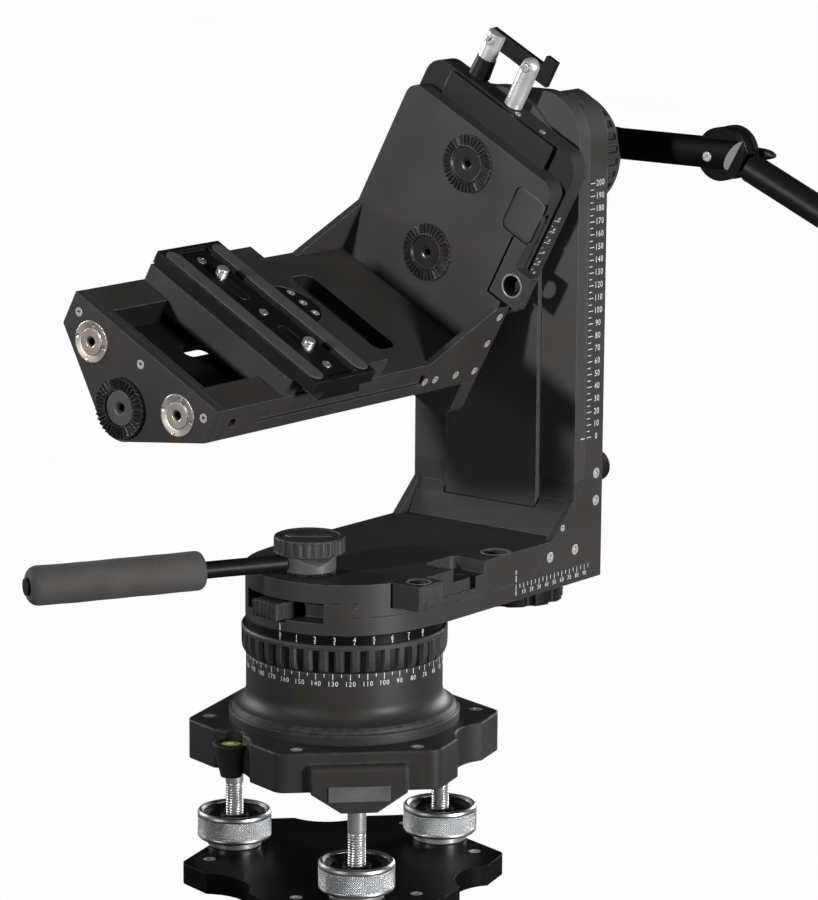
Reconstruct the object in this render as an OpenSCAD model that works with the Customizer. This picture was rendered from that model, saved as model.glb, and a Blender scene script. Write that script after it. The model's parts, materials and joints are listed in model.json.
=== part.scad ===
// Nodal head: levelling base, pan unit, sliding arm, sliding column, tilt unit and camera platform.
// Origin on the pan axis at the underside of the lower plate. +X runs along the arm to the upright.

/* [Levelling base] */
// Thickness of the lower plate
base_t = 16; // [12:1:24]
// Corner radius of the lower plate from the pan axis
base_r = 125; // [120:1:135]
// Corner radius of the levelling flange from the pan axis
flange_r = 120; // [116:1:130]
// Thickness of the levelling flange
flange_t = 30; // [26:1:36]
// Clear height between lower plate and flange
level_gap = 84; // [76:1:100]
// Direction of the front arm of the base, in degrees from +X
front_arm = 225; // [210:1:234]
// Radius of the circle of levelling studs
stud_circle = 93; // [86:1:94]
// Diameter of a levelling stud
stud_d = 14; // [10:1:18]
// Height of the collar at the foot of a stud
stud_collar_h = 5.5; // [3:0.5:8]
// Diameter of a levelling nut
nut_d = 58; // [46:1:60]
// Height of a levelling nut
nut_h = 22; // [16:1:30]
// Rounding of the corners of the two plates
corner_round = 10; // [4:1:14]
// Radius of the scallops between the arms
scallop_r = 36; // [28:1:40]
// Distance of the scallops from the pan axis
scallop_at = 131; // [128:1:140]
// Diameter of the central tie-down thread
tie_down_d = 9.525; // [6:0.025:16]
// Width of the boss for the bare plate
boss_w = 72; // [60:1:80]
// How far that boss stands proud
boss_proud = 6; // [3:0.5:8]

/* [Pan unit] */
// Radius of the pan drum
drum_r = 75; // [73:0.5:77]
// Height of the pan drum with its skirt
drum_h = 52; // [46:1:60]
// Wall of the pan drum
drum_wall = 9; // [6:0.5:12]
// Floor of the pan drum
drum_floor = 12; // [8:1:16]
// How far the pan drum's rim stands out
rim_out = 13; // [11:0.5:15]
// Radius of the pan spindle
spindle_r = 15; // [12:0.5:18]
// Outer radius of the bearings
bearing_r = 26; // [22:0.5:30]
// Width of a bearing
bearing_w = 12; // [8:1:14]
// Outer radius of the turntable's hub
hub_r = 42; // [36:1:48]
// How far the drag ring stands out over the drum
ring_out = 3.6; // [2:0.2:6]
// Height of the drag ring's ribbed part
ring_h = 21.5; // [18:0.5:26]
// Height of the drag ring's number band
band_h = 6.5; // [5:0.5:9]
// Number of ribs on the drag ring
ring_ribs = 40; // [30:1:48]

/* [Arm] */
// How far the arm's sides stand out over the drum
arm_out = 4; // [3:0.5:9]
// Length of the arm from the pan axis to its heel
arm_len = 224; // [220:1:236]
// Thickness of the turntable plate
table_t = 13.5; // [11:0.5:16]
// Height of the dovetail
dovetail_h = 10.5; // [8:0.5:13]
// Half width of the dovetail at its top
dovetail_top = 55; // [52:0.5:58]
// How far the dovetail's flanks lean in
dovetail_lean = 5; // [3:0.5:7]
// Thickness of the arm plate above the dovetail
arm_t = 14.5; // [12:0.5:18]
// Radius of the knob under the heel
heel_knob_r = 44; // [36:1:46]
// Height of the knob under the heel
heel_knob_h = 25; // [18:1:28]

/* [Upright] */
// Thickness of the upright behind the column slide
upright_t = 24; // [20:0.5:28]
// Thickness of the column slide
slide_t = 13.2; // [12:0.2:15]
// Height of the upright above the arm
upright_h = 346; // [330:1:380]
// Radius of the upright's top corners
upright_round = 38; // [30:1:40]
// Height of the foot block
foot_h = 18; // [14:1:24]
// Height of the ledges under the column slide
ledge_h = 42; // [36:1:46]
// How far the foot block stands out in front of the column slide
foot_out = 16.5; // [12:0.5:20]
// Thickness of an arm gusset
gusset_t = 6; // [4:0.5:8]
// Length of a gusset along the arm
gusset_run = 92; // [88:1:96]
// Height of a gusset along the upright
gusset_rise = 88; // [84:1:90]
// Half width of the raised rail on the column slide
rail_half = 44.5; // [42:0.5:47]
// How far that rail stands proud
rail_proud = 4; // [2:0.5:5]

/* [Tilt unit] */
// Height of the tilt axis above the arm, at the bottom of the column's travel
tilt_up = 286.7; // [280:0.1:292]
// Angle of the platform at rest
tilt_rest = 28; // [0:1:40]
// Radius of the tilt housing
housing_r = 46; // [44:0.5:48]
// Length of the tilt housing behind the column slide
housing_len = 64.5; // [56:0.5:72]
// How far the tilt drag ring stands out over the housing
tilt_ring_out = 1.5; // [1:0.5:4]
// Width of the tilt drag ring
tilt_ring_w = 23; // [20:0.5:28]
// Radius of the tilt shaft
shaft_r = 15; // [12:0.5:18]
// Half width of the tilt plate
tilt_half = 80; // [76:0.5:84]
// Top of the tilt plate above the tilt axis
tilt_top = 53; // [48:1:58]
// Bottom of the tilt plate below the tilt axis
tilt_bottom = 95; // [92:1:104]
// Thickness of the tilt plate
tilt_t = 17.5; // [16:0.5:20]

/* [Platform] */
// Thickness of the side plate
side_t = 16.7; // [15:0.1:20]
// Half width of the platform
plat_half = 78; // [76:0.5:79]
// Top of the side plate above the tilt axis
side_top = 31; // [28:1:36]
// Bottom of the side plate below the tilt axis
side_bottom = 187; // [182:1:200]
// Level of the platform's floor below the tilt axis
floor_drop = 124; // [120:1:130]
// Thickness of the bottom plate
floor_t = 28; // [24:1:32]
// Length of the platform from the side plate to the front of its nose
plat_len = 305.5; // [285:0.5:320]
// Thickness of the nose plate
nose_t = 7.5; // [6:0.5:14]
// Radius of the nose around its rosette
nose_round = 25.5; // [24:0.5:28]
// Distance of the nose rosette below the floor
nose_drop = 51; // [46:1:58]
// Radius of the rosettes
rosette_r = 23; // [20:0.5:23.5]
// Thickness of a platform gusset
plat_gusset_t = 5; // [4:0.5:7]

/* [Camera plate] */
// Width of the camera plate
cam_w = 69; // [64:1:74]
// Length of the camera plate
cam_len = 175; // [150:1:190]
// Thickness of the camera plate
cam_t = 10; // [8:0.5:12]
// Distance from the side plate to the middle of the camera plate
cam_out = 193.5; // [188:0.5:199]
// How far the camera plate is pushed to the right side at rest
cam_shift = 9; // [0:1:20]
// Height of the cross block under the camera plate
block_h = 14.5; // [12:0.5:18]
// Distance between the two camera screws
screw_pitch = 95; // [80:1:110]
// Thread diameter of a camera screw
cam_screw_d = 9.525; // [6.35:0.005:9.525]

/* [Handles] */
// Direction of the pan bar, in degrees from +X
bar_angle = 152; // [140:1:170]
// Diameter of the pan bar's rod
bar_d = 13; // [10:0.5:13]
// Diameter of the pan bar's grip
grip_d = 30; // [26:1:34]
// Length of the pan bar's grip
grip_len = 135; // [110:1:150]
// Distance from the knob's axis to the grip
grip_at = 86.5; // [75:0.5:100]
// Diameter of the pan bar's knob
knob_d = 54; // [46:1:58]
// Height of the pan bar's knob
knob_h = 13; // [10:0.5:18]
// Diameter of the tilt handle's tubes
tube_d = 23; // [20:1:24]
// Distance from the tilt axis to the handle's knuckle
knuckle_at = 139; // [125:1:150]
// Radius of the knuckle
knuckle_r = 21; // [19:0.5:24]
// Angle of the outer tube below the inner one
bend = 24; // [0:1:40]
// Distance from the knuckle to the outer grip
outer_len = 130; // [100:5:160]
// Length of the tilt handle's grip
handle_grip_len = 120; // [100:5:150]

/* [Fits] */
// Gap between pieces that slide on each other
slide_gap = 0.3; // [0.2:0.05:0.4]
// Radial gap of a shaft in its bearing
run_gap = 0.05; // [0.02:0.01:0.1]
// Gap above and below a ring that turns
ring_gap = 0.5; // [0.3:0.1:0.8]

/* [Hidden] */
$fn = 64;
black = [0.13, 0.13, 0.13];
grey = [0.24, 0.24, 0.25];
steel = [0.72, 0.72, 0.74];
yellow = [0.72, 0.74, 0.2];
foam = [0.2, 0.2, 0.2];
// How far a cut runs past the face it opens
past = 1;
// Number of sides of a small groove's cutter
groove_fn = 24;

// Levels of the base and the pan unit, from the ground up
flange_z = base_t + level_gap;
flange_top = flange_z + flange_t;
drum_top = flange_top + drum_h;
ring_z = drum_top + ring_gap;
band_z = ring_z + ring_h;
table_z = band_z + band_h + ring_gap;
table_top = table_z + table_t;
dovetail_z = table_top + dovetail_h;
arm_z = table_top + slide_gap;
arm_top = dovetail_z + slide_gap + arm_t;

// Base: studs, nuts, screws, level and front boss
stud_angles = [front_arm, front_arm + 120, front_arm + 240];
stud_deep = 8;
stud_collar_r = 21;
nut_z = base_t + stud_collar_h + ring_gap;
nut_dish = 5;
nut_dish_rim = 3;
nut_dish_in = 6;
screw_r = 3.4;
screw_sink = 5;
socket_share = 0.5;
base_screw_in = 17;
base_screw_r = flange_r - base_screw_in;
base_screw_spread = 26;
base_cap_r = 4.6;
level_r = 9.5;
level_boss_r = 14;
level_boss_foot = 8;
level_boss_h = 26;
level_sink = 8;
level_at = scallop_at - scallop_r + 5;
level_angle = front_arm - 64;
level_drop = 7;
boss_face = flange_r * cos(30);
boss_top = flange_top - 9;
boss_in = 10;
boss_round = boss_proud - 1;
boss_taper = 15;
boss_foot = 27;
plate_w = 46;
plate_h = 11.5;
plate_t = 1.2;
plate_drop = 15.5;

// Pan unit
rim_r = drum_r + rim_out;
rim_h = 8;
groove_r = rim_r - 2.5;
skirt_r = drum_r + 9;
skirt_low = 11;
skirt_high = 25;
drum_inner = drum_r - drum_wall;
ring_r = drum_r + ring_out;
band_r = drum_r + 0.4;
arm_r = drum_r + 0.5;
arm_half = drum_r + arm_out;
spigot_r = drum_r - 5;
rib_r = 4.2;
rib_deep = 3;
rib_low = 3;
rib_high = 4;
hub_z = flange_top + drum_floor + 8;
bearing_gap = 3;
spindle_flange_r = 34;
spindle_flange_t = 6;
spindle_low = flange_z + 4;
spindle_top = table_z + 3;
spindle_room = 2;
disc_t = 3;
disc_n = 3;
disc_pitch = 8;
disc_low = 2;
disc_r = drum_inner - 2;

// Pan brake: slot and lever
brake_low = table_z + 9;
brake_slot = [145, 207];
brake_at = 173;
brake_arc = 11;
brake_inner = 58;
brake_out = 8;
brake_drop = 2;
tab_w = 26;
tab_in = 8;
tab_ribs = 6;
tab_rib_r = 1.3;

// Heel knob
heel_in = 16;
heel_x = arm_len - heel_in;
heel_bolt_r = 6;
heel_bolt_h = 9;
heel_z = table_z - ring_gap;
heel_flutes = 12;
heel_flute_r = 6;
heel_flute_deep = 3;
heel_lip = 4;

// Clamp levers: bar, block, finger hole, hinge pin and finger scoop
lever_t = 19;
lever_bar = 12.5;
lever_block = 29;
lever_out = 16;
lever_hole_r = 8;
lever_hole_out = 10;
lever_block_mid = 15;
lever_pin_r = 3;
lever_scoop = 19;
lever_scoop_in = 22.5;
lever_scoop_round = 6;
lever_scoop_deep = 10;
lever_clear = 2;
lever_in = 7;
lever_pin_deep = 4;
arm_lever_x = 52;
arm_lever_len = 81;

// Outline of the arm
arm_back = -10;
arm_neck = 25;

// Level on the arm, gussets and foot block
arm_level_x = 101;
arm_level_in = 12;
gusset_x = arm_len - gusset_run;
gusset_screws = [[68, 12.5, 4.2], [35, 13, 4.2], [8, 70, 4.2], [8, 48, 4.2], [52, 33, 2.6]];
gusset_sink = 3;
upright_top = arm_top + upright_h;
back_x = arm_len - upright_t;
slide_back = back_x - slide_gap;
column_x = slide_back - slide_t;
foot_x = column_x - foot_out;
foot_lean = 10;
foot_z = arm_top + foot_h;
ledge_z = arm_top + ledge_h;
ledge_lean = 8;
ledge_half = rail_half + 2;
tilt_z = arm_top + tilt_up;
rail_drop = 45;
rail_top = tilt_z - rail_drop;
tilt_boss_r = housing_r + 14;
key_in = 17;
key_mid = arm_half - key_in;
key_half = 5;
key_neck = 3.4;
key_d = 8;
slot_half = housing_r + 4;

// Pan bar
bar_x = -42;
rosette_h = 2;
collar_r = 20;
collar_h = 13;
collar_z = arm_top + rosette_h + slide_gap;
bar_z = collar_z + collar_h / 2;
bar_root_r = 5;
bar_root = 6;
knob_z = collar_z + collar_h + slide_gap;
knob_bolt_r = 5;
knob_bolt_deep = 10;
knob_flutes = 20;
knob_flute_r = 2.6;
knob_flute_deep = 1.3;
knob_lip = 2;
nub_len = 2;

// Knob on the back of the upright
column_knob_r = 12.5;
column_knob_h = 14;
column_knob_in = 15;
column_knob_y = column_knob_in - arm_half;
column_knob_up = 46;
column_bolt_r = 4;
column_bolt_deep = 12;

// Tilt unit
rail_x = column_x - rail_proud;
housing_x = rail_x + 1.5;
housing_end = slide_back + housing_len;
spigot2_r = housing_r - 8;
shaft_room = 3;
ring2_x = housing_end + ring_gap;
ring2_end = ring2_x + tilt_ring_w;
tilt_ring_r = housing_r + tilt_ring_out;
ring2_ribs = 28;
ring2_rib_r = 3;
ring2_lip = 5;
bearing_in = 8;
bearing_end = 2;
clamp_x = ring2_end + ring_gap + 1;
clamp_w = 24;
clamp_r = 27;
clamp_end = clamp_x + clamp_w;
handle_x = clamp_x + clamp_w / 2;
handle_up = 8;
socket_y = clamp_r + 6;
socket_deep = 8;
socket_in = 1.5;
shaft_end = clamp_end + slide_gap;
shaft_cap = 4;
shaft_cap_r = shaft_r + 4;
plate_back = rail_x - 1;
plate_front = plate_back - tilt_t;
tilt_round = 16;
key2_half = 56;
key2_neck = 52;
key2_d = 4.5;
key2_short = 1;
shaft_seat = 3;
lift_x = plate_front + 8.5;
lift_r = 5;
lift_low = -76;
lift_high = 26;
lift_foot = 11;
lift_half = 10;
lift_back = plate_back - shaft_seat - 1;
lift_nut_h = 20;
lift_nut_z = -30;

// Folding crank
crank_r = 7.4;
crank_h = 42;
crank_foot = 1;
crank_z = tilt_top + crank_foot;
crank_pin_z = crank_z + crank_h - 7;
crank_reach = 39;
crank_bar_t = 5;
crank_bar_h = 13;
crank_tail = 18;
crank_tail_h = 22;
crank_tail_up = 3;
crank_bar_in = 2;
crank_bar_x = lift_x + crank_bar_in;
crank_grip_len = 39;
crank_grip_up = 6;
crank_cut = 16;
pin_r = 2;

// Handle knuckle, outer tube and wing
fork_slot = 10;
fork_room = 2;
eye_r = knuckle_r - 1;
outer_at = knuckle_r + 3;
neck_in = 4;
wing_bolt_r = 4;
wing_head = 8;
wing_head_r = 9;
wing_len = 34;
wing_w = 10;
wing_t = 5;
core_r = tube_d / 2 - 3;
grip2_r = 15.5;

// Platform
side_back = plate_front - slide_gap;
side_x = side_back - side_t;
side_round = 12;
floor_z = -floor_drop;
floor_low = floor_z - floor_t;
nose_x = side_x - plat_len;
nose_back = nose_x + nose_t;
nose_c = floor_z - nose_drop;
nose_inset = 0.2;
insert_r = 16;
insert_t = 1.2;
insert_y = 47.5;
insert_drop = 24.5;
nose_screw_y = 68.5;
nose_screw_drop = 12;
rosette_t = 3;
rosette_z = [3, -79.5];
rosette_room = 0.4;
thread_r = 3;
thread_deep = 10;
nose_rosette_t = 5.5;
window_wall = 6;
window_x = nose_back + window_wall;
window_half = 50;
window_deep = 20;
window_slot_w = 15;
window_slot_l = 34;
window_slot_r = 7;
window_slot_in = 2;
window_slot_y = 12.5;
long_slot_in = 79;
long_slot_at = side_x - long_slot_in;
long_slot_w = 24;
long_slot_round = 8;
long_slot_half = 50;
long_slot_deep = 12;
groove_h = 9;
groove_deep = 3;
edge_hole_r = 4;
edge_hole_at = 15;
edge_hole_deep = 12;
plat_gusset_leg = 74;
plat_gusset_up = 43;
plat_screws = [[-7, 62], [-7, 37], [-7, 11], [-31, 11], [-57, 11], [-70, 11]];
side_lever_z = -3;
side_lever_len = 69;
side_lever_t = 12;
side_scoop_deep = 6;
inset_r = 24.5;
inset_t = 2;
inset_drop = 0.5;
inset_out = 48;
inset_y = 3.5;
inset_screw_x = 14.5;
inset_screw_y = 13.7;

// Cross block and camera plate
cam_x = side_x - cam_out;
block_left = 3.5;
block_right = 42.5;
block_len = 2 * plat_half - 2;
block_top = floor_z + block_h;
block_x = cam_x - cam_w / 2 - block_left;
window_under = 25.5;
window_end = block_x + window_under;
keel_d = 11;
keel_in = 2;
inset_x = cam_x + inset_out;
inset_z = block_top - inset_drop - inset_t;
cam_key_half = 25;
cam_key_neck = 21;
cam_key_d = 7;
cam_low = block_top + slide_gap;
cam_top = cam_low + cam_t;
pad_w = 14;
pad_h = 2;
pad_sink = 1;
pad_edge = 1.5;
pad_at = cam_w / 2 - pad_edge - pad_w / 2;
pad_len = cam_len - 8;
channel_w = 34;
channel_d = 3;
cam_screw_up = 8;
cam_screw_mid = 2.3;
cam_head_r = 8;
cam_head_h = 4;
cam_head_in = 2.5;
cam_pocket_gap = 0.05;
cam_relief = 1.2;
cam_relief_deep = 0.6;

// Places a piece in the tilted frame of the platform, whose origin lies on the tilt axis
module tilted() {
  translate([0, 0, tilt_z])
    rotate([tilt_rest, 0, 0])
      children();
}

// A rectangle with round corners, made of squares and circles
module round_box2d(x0, x1, y0, y1, r) {
  translate([x0 + r, y0])
    square([x1 - x0 - 2 * r, y1 - y0]);
  translate([x0, y0 + r])
    square([x1 - x0, y1 - y0 - 2 * r]);
  for (x = [x0 + r, x1 - r], y = [y0 + r, y1 - r])
    translate([x, y])
      circle(r);
}

// A block between two corners
module span(a, b) {
  translate(a)
    cube(b - a);
}

// A plate that faces along X, from a drawing with Y across and Z up
module plate_x(x0, x1) {
  translate([x0, 0, 0])
    rotate([90, 0, 90])
      linear_extrude(x1 - x0)
        children();
}

// A plate that faces along Y, from a drawing with X across and Z up
module plate_y(y0, y1) {
  translate([0, y1, 0])
    rotate([90, 0, 0])
      linear_extrude(y1 - y0)
        children();
}

// A round bar along X
module rod_x(x0, x1, r) {
  translate([x0, 0, 0])
    rotate([0, 90, 0])
      cylinder(h = x1 - x0, r = r);
}

// A round bar that runs towards -Y
module rod_y(y0, y1, r) {
  translate([0, -y0, 0])
    rotate([90, 0, 0])
      cylinder(h = y1 - y0, r = r);
}

// A flat ring about Z
module ring(z0, z1, r0, r1) {
  difference() {
    translate([0, 0, z0])
      cylinder(h = z1 - z0, r = r1);
    translate([0, 0, z0 - past])
      cylinder(h = z1 - z0 + 2 * past, r = r0);
  }
}

// A sector of a disc between two angles less than a right angle apart
module sector2d(r, a0, a1) {
  intersection() {
    circle(r);
    polygon([[0, 0], 2 * r * [cos(a0), sin(a0)], 2 * r * [cos(a1), sin(a1)]]);
  }
}

// A cap screw with a hexagon socket, seated at height 0
module cap_screw(r, h) {
  difference() {
    cylinder(h = h, r = r);
    translate([0, 0, h * socket_share])
      cylinder(h = h, r = r * socket_share, $fn = 6);
  }
}

// A hexagon with round corners, one of them on +X
module round_hexagon2d(r) {
  mid = r - corner_round / cos(30);
  polygon([for (i = [0:5], s = [-1, 1])
    let (a = 60 * i, b = a + 30 * s)
      [mid * cos(a) + corner_round * cos(b), mid * sin(a) + corner_round * sin(b)]]);
  for (i = [0:5])
    rotate(60 * i)
      translate([mid, 0])
        circle(corner_round);
}

// Outline of the lower plate and the flange: a hexagon with scallops between its arms
module arms2d(r) {
  difference() {
    rotate(front_arm - 30)
      round_hexagon2d(r);
    for (a = stud_angles)
      rotate(a + 60)
        translate([scallop_at, 0])
          circle(scallop_r);
  }
}

// Places a child at each levelling stud
module at_studs() {
  for (a = stud_angles)
    rotate(a)
      translate([stud_circle, 0, 0])
        children();
}

// Places a child at each cap screw of the flange or the lower plate
module at_base_screws(z) {
  for (a = stud_angles, s = [-1, 1])
    rotate(a + s * base_screw_spread)
      translate([base_screw_r, 0, z - screw_sink])
        children();
}

module base_plate() {
  color(black)
    difference() {
      linear_extrude(base_t)
        arms2d(base_r);
      translate([0, 0, -past])
        cylinder(h = base_t + 2 * past, r = tie_down_d / 2);
      at_studs()
        translate([0, 0, base_t - stud_deep])
          cylinder(h = stud_deep + past, r = stud_d / 2);
      at_base_screws(base_t)
        cylinder(h = screw_sink + past, r = base_cap_r);
    }
}

module levelling_studs() {
  color(steel)
    at_studs() {
      translate([0, 0, base_t - stud_deep])
        cylinder(h = stud_deep + level_gap + flange_t / 2, r = stud_d / 2);
      translate([0, 0, base_t])
        cylinder(h = stud_collar_h, r = stud_collar_r);
    }
}

// Drawing of the front boss, across the flat end of the front arm
module boss2d() {
  w = boss_w / 2;
  f = boss_foot / 2;
  low = flange_z - boss_taper;
  polygon([[-w, boss_top], [w, boss_top], [w, flange_z], [f, low], [-f, low], [-w, flange_z]]);
}

// Places a child at the level's boss, at the height of its face
module at_base_level() {
  rotate(level_angle)
    translate([level_at, 0, flange_top - level_drop])
      children();
}

module levelling_flange() {
  color(grey)
    difference() {
      union() {
        translate([0, 0, flange_z])
          linear_extrude(flange_t)
            arms2d(flange_r);
        rotate(front_arm)
          plate_x(boss_face - boss_in, boss_face + boss_proud)
            boss2d();
        at_base_level()
          translate([0, 0, -level_boss_h])
            cylinder(h = level_boss_h, r1 = level_boss_foot, r2 = level_boss_r);
      }
      rotate(front_arm)
        translate([boss_face + boss_proud - boss_round, 0, boss_top - boss_round])
          difference() {
            translate([0, -boss_w / 2 - past, 0])
              cube([boss_round + past, boss_w + 2 * past, boss_round + past]);
            rod_y(-boss_w / 2 - 2 * past, boss_w / 2 + 2 * past, boss_round);
          }
      at_studs()
        translate([0, 0, flange_z - 2 * boss_taper])
          cylinder(h = flange_t / 2 + 2 * boss_taper, r = stud_d / 2);
      at_base_screws(flange_top)
        cylinder(h = screw_sink + past, r = base_cap_r);
      at_base_level()
        translate([0, 0, -level_sink])
          cylinder(h = level_sink + flange_t, r = level_r);
      translate([0, 0, spindle_low])
        cylinder(h = flange_t, r = spindle_r);
    }
}

module base_screws() {
  color(steel) {
    at_base_screws(flange_top)
      cap_screw(base_cap_r, screw_sink);
    at_base_screws(base_t)
      cap_screw(base_cap_r, screw_sink);
  }
}

module bare_plate() {
  color([0.3, 0.3, 0.31])
    rotate(front_arm)
      translate([boss_face + boss_proud, -plate_w / 2, boss_top - plate_drop - plate_h])
        cube([plate_t, plate_w, plate_h]);
}

module base_level() {
  color(yellow)
    at_base_level()
      translate([0, 0, -level_sink])
        cylinder(h = level_sink, r = level_r);
}

// Section of the pan drum: rim, groove, hollow flare and wall
module drum2d() {
  difference() {
    union() {
      square([rim_r, rim_h]);
      square([groove_r, skirt_low]);
      square([drum_r, drum_h]);
      difference() {
        square([skirt_r, skirt_high]);
        translate([drum_r + skirt_high - skirt_low, skirt_high])
          circle(skirt_high - skirt_low);
      }
    }
    translate([0, drum_floor])
      square([drum_inner, drum_h]);
    translate([0, -past])
      square([spindle_r, drum_h]);
  }
}

module pan_drum() {
  color(black)
    translate([0, 0, flange_top])
      rotate_extrude()
        drum2d();
}

module pan_spindle() {
  color(steel) {
    translate([0, 0, spindle_low])
      cylinder(h = spindle_top - spindle_low, r = spindle_r);
    translate([0, 0, flange_top + drum_floor])
      cylinder(h = spindle_flange_t, r = spindle_flange_r);
  }
}

module pan_bearings() {
  color(steel)
    for (z = [hub_z + bearing_gap, spindle_top - bearing_w - bearing_gap])
      ring(z, z + bearing_w, spindle_r, bearing_r);
}

module levelling_nut(i) {
  rim = nut_d / 2 - nut_dish_rim;
  color(steel)
    rotate(stud_angles[i])
      translate([stud_circle, 0, nut_z])
        difference() {
          cylinder(h = nut_h, r = nut_d / 2);
          translate([0, 0, nut_h - nut_dish])
            cylinder(h = nut_dish, r1 = rim - nut_dish_in, r2 = rim);
          translate([0, 0, -past])
            cylinder(h = nut_h + 2 * past, r = stud_d / 2 + run_gap);
        }
}

module levelling_nut_front() {
  levelling_nut(0);
}

module levelling_nut_right() {
  levelling_nut(1);
}

module levelling_nut_left() {
  levelling_nut(2);
}

// Outline of the arm and the turntable: a round front that widens into a straight arm
module arm2d() {
  y = sqrt(arm_r * arm_r - arm_back * arm_back);
  circle(arm_r);
  polygon([
    [arm_back, -y], [arm_neck, -arm_half], [arm_len, -arm_half],
    [arm_len, arm_half], [arm_neck, arm_half], [arm_back, y]
  ]);
}

// Section of the dovetail, grown by a gap on its flanks and top
module dovetail2d(gap) {
  top = dovetail_top + gap;
  low = top - dovetail_lean;
  polygon([[-low, table_top], [low, table_top], [top, dovetail_z + gap], [-top, dovetail_z + gap]]);
}

module turntable() {
  color(grey)
    difference() {
      union() {
        translate([0, 0, table_z])
          linear_extrude(table_t)
            arm2d();
        intersection() {
          plate_x(-arm_r, arm_len)
            dovetail2d(0);
          translate([0, 0, table_z])
            linear_extrude(table_t + dovetail_h)
              arm2d();
        }
        translate([0, 0, ring_z])
          cylinder(h = table_z - ring_z + table_t / 2, r = spigot_r);
        translate([0, 0, hub_z])
          cylinder(h = table_z - hub_z, r = hub_r);
      }
      translate([0, 0, hub_z - past])
        cylinder(h = spindle_top + spindle_room - hub_z + past, r = bearing_r + run_gap);
      translate([0, 0, brake_low])
        linear_extrude(dovetail_z - brake_low + past)
          difference() {
            sector2d(arm_r + past, brake_slot[0], brake_slot[1]);
            circle(brake_inner);
          }
      translate([heel_x, 0, table_z - past])
        cylinder(h = heel_bolt_h + ring_gap + past, r = heel_bolt_r + run_gap);
    }
}

module drag_discs() {
  color(steel)
    for (i = [0:disc_n - 1])
      let (z = hub_z + disc_low + i * disc_pitch)
        ring(z, z + disc_t, hub_r, disc_r);
}

module pan_drag_ring() {
  color(black)
    difference() {
      union() {
        translate([0, 0, ring_z])
          cylinder(h = ring_h, r = ring_r);
        translate([0, 0, ring_z])
          cylinder(h = ring_h + band_h, r = band_r);
      }
      translate([0, 0, ring_z - past])
        cylinder(h = ring_h + band_h + 2 * past, r = spigot_r + run_gap);
      for (i = [0:ring_ribs - 1])
        rotate(i * 360 / ring_ribs)
          translate([ring_r + rib_r - rib_deep, 0, ring_z + rib_low])
            cylinder(h = ring_h - rib_low - rib_high, r = rib_r, $fn = groove_fn);
    }
}

module pan_brake_lever() {
  h = dovetail_z - brake_drop - brake_low - slide_gap;
  color(black)
    translate([0, 0, brake_low + slide_gap])
      difference() {
        linear_extrude(h)
          union() {
            difference() {
              sector2d(arm_r - slide_gap, brake_at - brake_arc, brake_at + brake_arc);
              circle(brake_inner + slide_gap);
            }
            rotate(brake_at)
              translate([arm_r - tab_in, -tab_w / 2])
                square([brake_out + tab_in, tab_w]);
          }
        rotate(brake_at)
          for (i = [0:tab_ribs - 1])
            translate([arm_r + brake_out, (i + 0.5 - tab_ribs / 2) * tab_w / tab_ribs, -past])
              cylinder(h = h + 2 * past, r = tab_rib_r, $fn = groove_fn);
      }
}

module heel_knob() {
  color(black)
    translate([heel_x, 0, heel_z - heel_knob_h])
      difference() {
        union() {
          cylinder(h = heel_knob_h, r = heel_knob_r);
          cylinder(h = heel_knob_h + heel_bolt_h, r = heel_bolt_r);
        }
        for (i = [0:heel_flutes - 1])
          rotate(i * 360 / heel_flutes)
            translate([heel_knob_r + heel_flute_r - heel_flute_deep, 0, -past])
              cylinder(h = heel_knob_h - heel_lip + past, r = heel_flute_r, $fn = groove_fn);
      }
}

// A clamp lever with its top face at height 0: hinge at the origin, bar along -X, block outwards to -Y
module clamp_lever(len, t, scoop_deep) {
  half = lever_bar / 2;
  difference() {
    translate([0, 0, -t])
      linear_extrude(t)
        difference() {
          union() {
            translate([-len, -half])
              square([len, lever_bar]);
            circle(half);
            translate([-len, -half - lever_out])
              square([lever_block, lever_bar + lever_out]);
          }
          translate([-len + lever_block_mid, -lever_hole_out])
            circle(lever_hole_r);
        }
    translate([-lever_scoop, -lever_bar, -scoop_deep])
      cube([2 * lever_scoop, 2 * lever_bar, scoop_deep + past]);
  }
  translate([0, 0, -t - lever_pin_deep])
    cylinder(h = lever_pin_deep + past, r = lever_pin_r);
}

// Pocket for a clamp lever, open at height 0 and outwards, with the finger scoop and the pin's hole
module lever_pocket(len, t, scoop_deep) {
  half = lever_bar / 2 + lever_clear;
  far = lever_bar + lever_out;
  deep = t + slide_gap;
  translate([-len - lever_clear, -far, -deep])
    cube([len + lever_clear + half, far, deep + past]);
  translate([-len - lever_clear, -far, -deep])
    cube([len + lever_clear, far + half, deep + past]);
  translate([0, 0, -deep])
    cylinder(h = deep + past, r = half);
  translate([0, 0, -scoop_deep])
    linear_extrude(scoop_deep + past)
      round_box2d(-lever_scoop, lever_scoop, -far, lever_scoop_in, lever_scoop_round);
  translate([0, 0, -t - lever_pin_deep - slide_gap])
    cylinder(h = lever_pin_deep + past, r = lever_pin_r + run_gap);
}

// Places a child at the arm lever's hinge, on the arm's top face
module at_arm_lever() {
  translate([arm_lever_x, -arm_half + lever_in, arm_top])
    children();
}

module gusset2d() {
  polygon([[gusset_x, arm_z], [arm_len, arm_z], [arm_len, arm_z + gusset_rise]]);
}

// Room that the two gussets take out of the arm and the upright
module gusset_room() {
  for (s = [-1, 1])
    plate_y(s * arm_half - gusset_t, s * arm_half + gusset_t)
      gusset2d();
}

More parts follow.
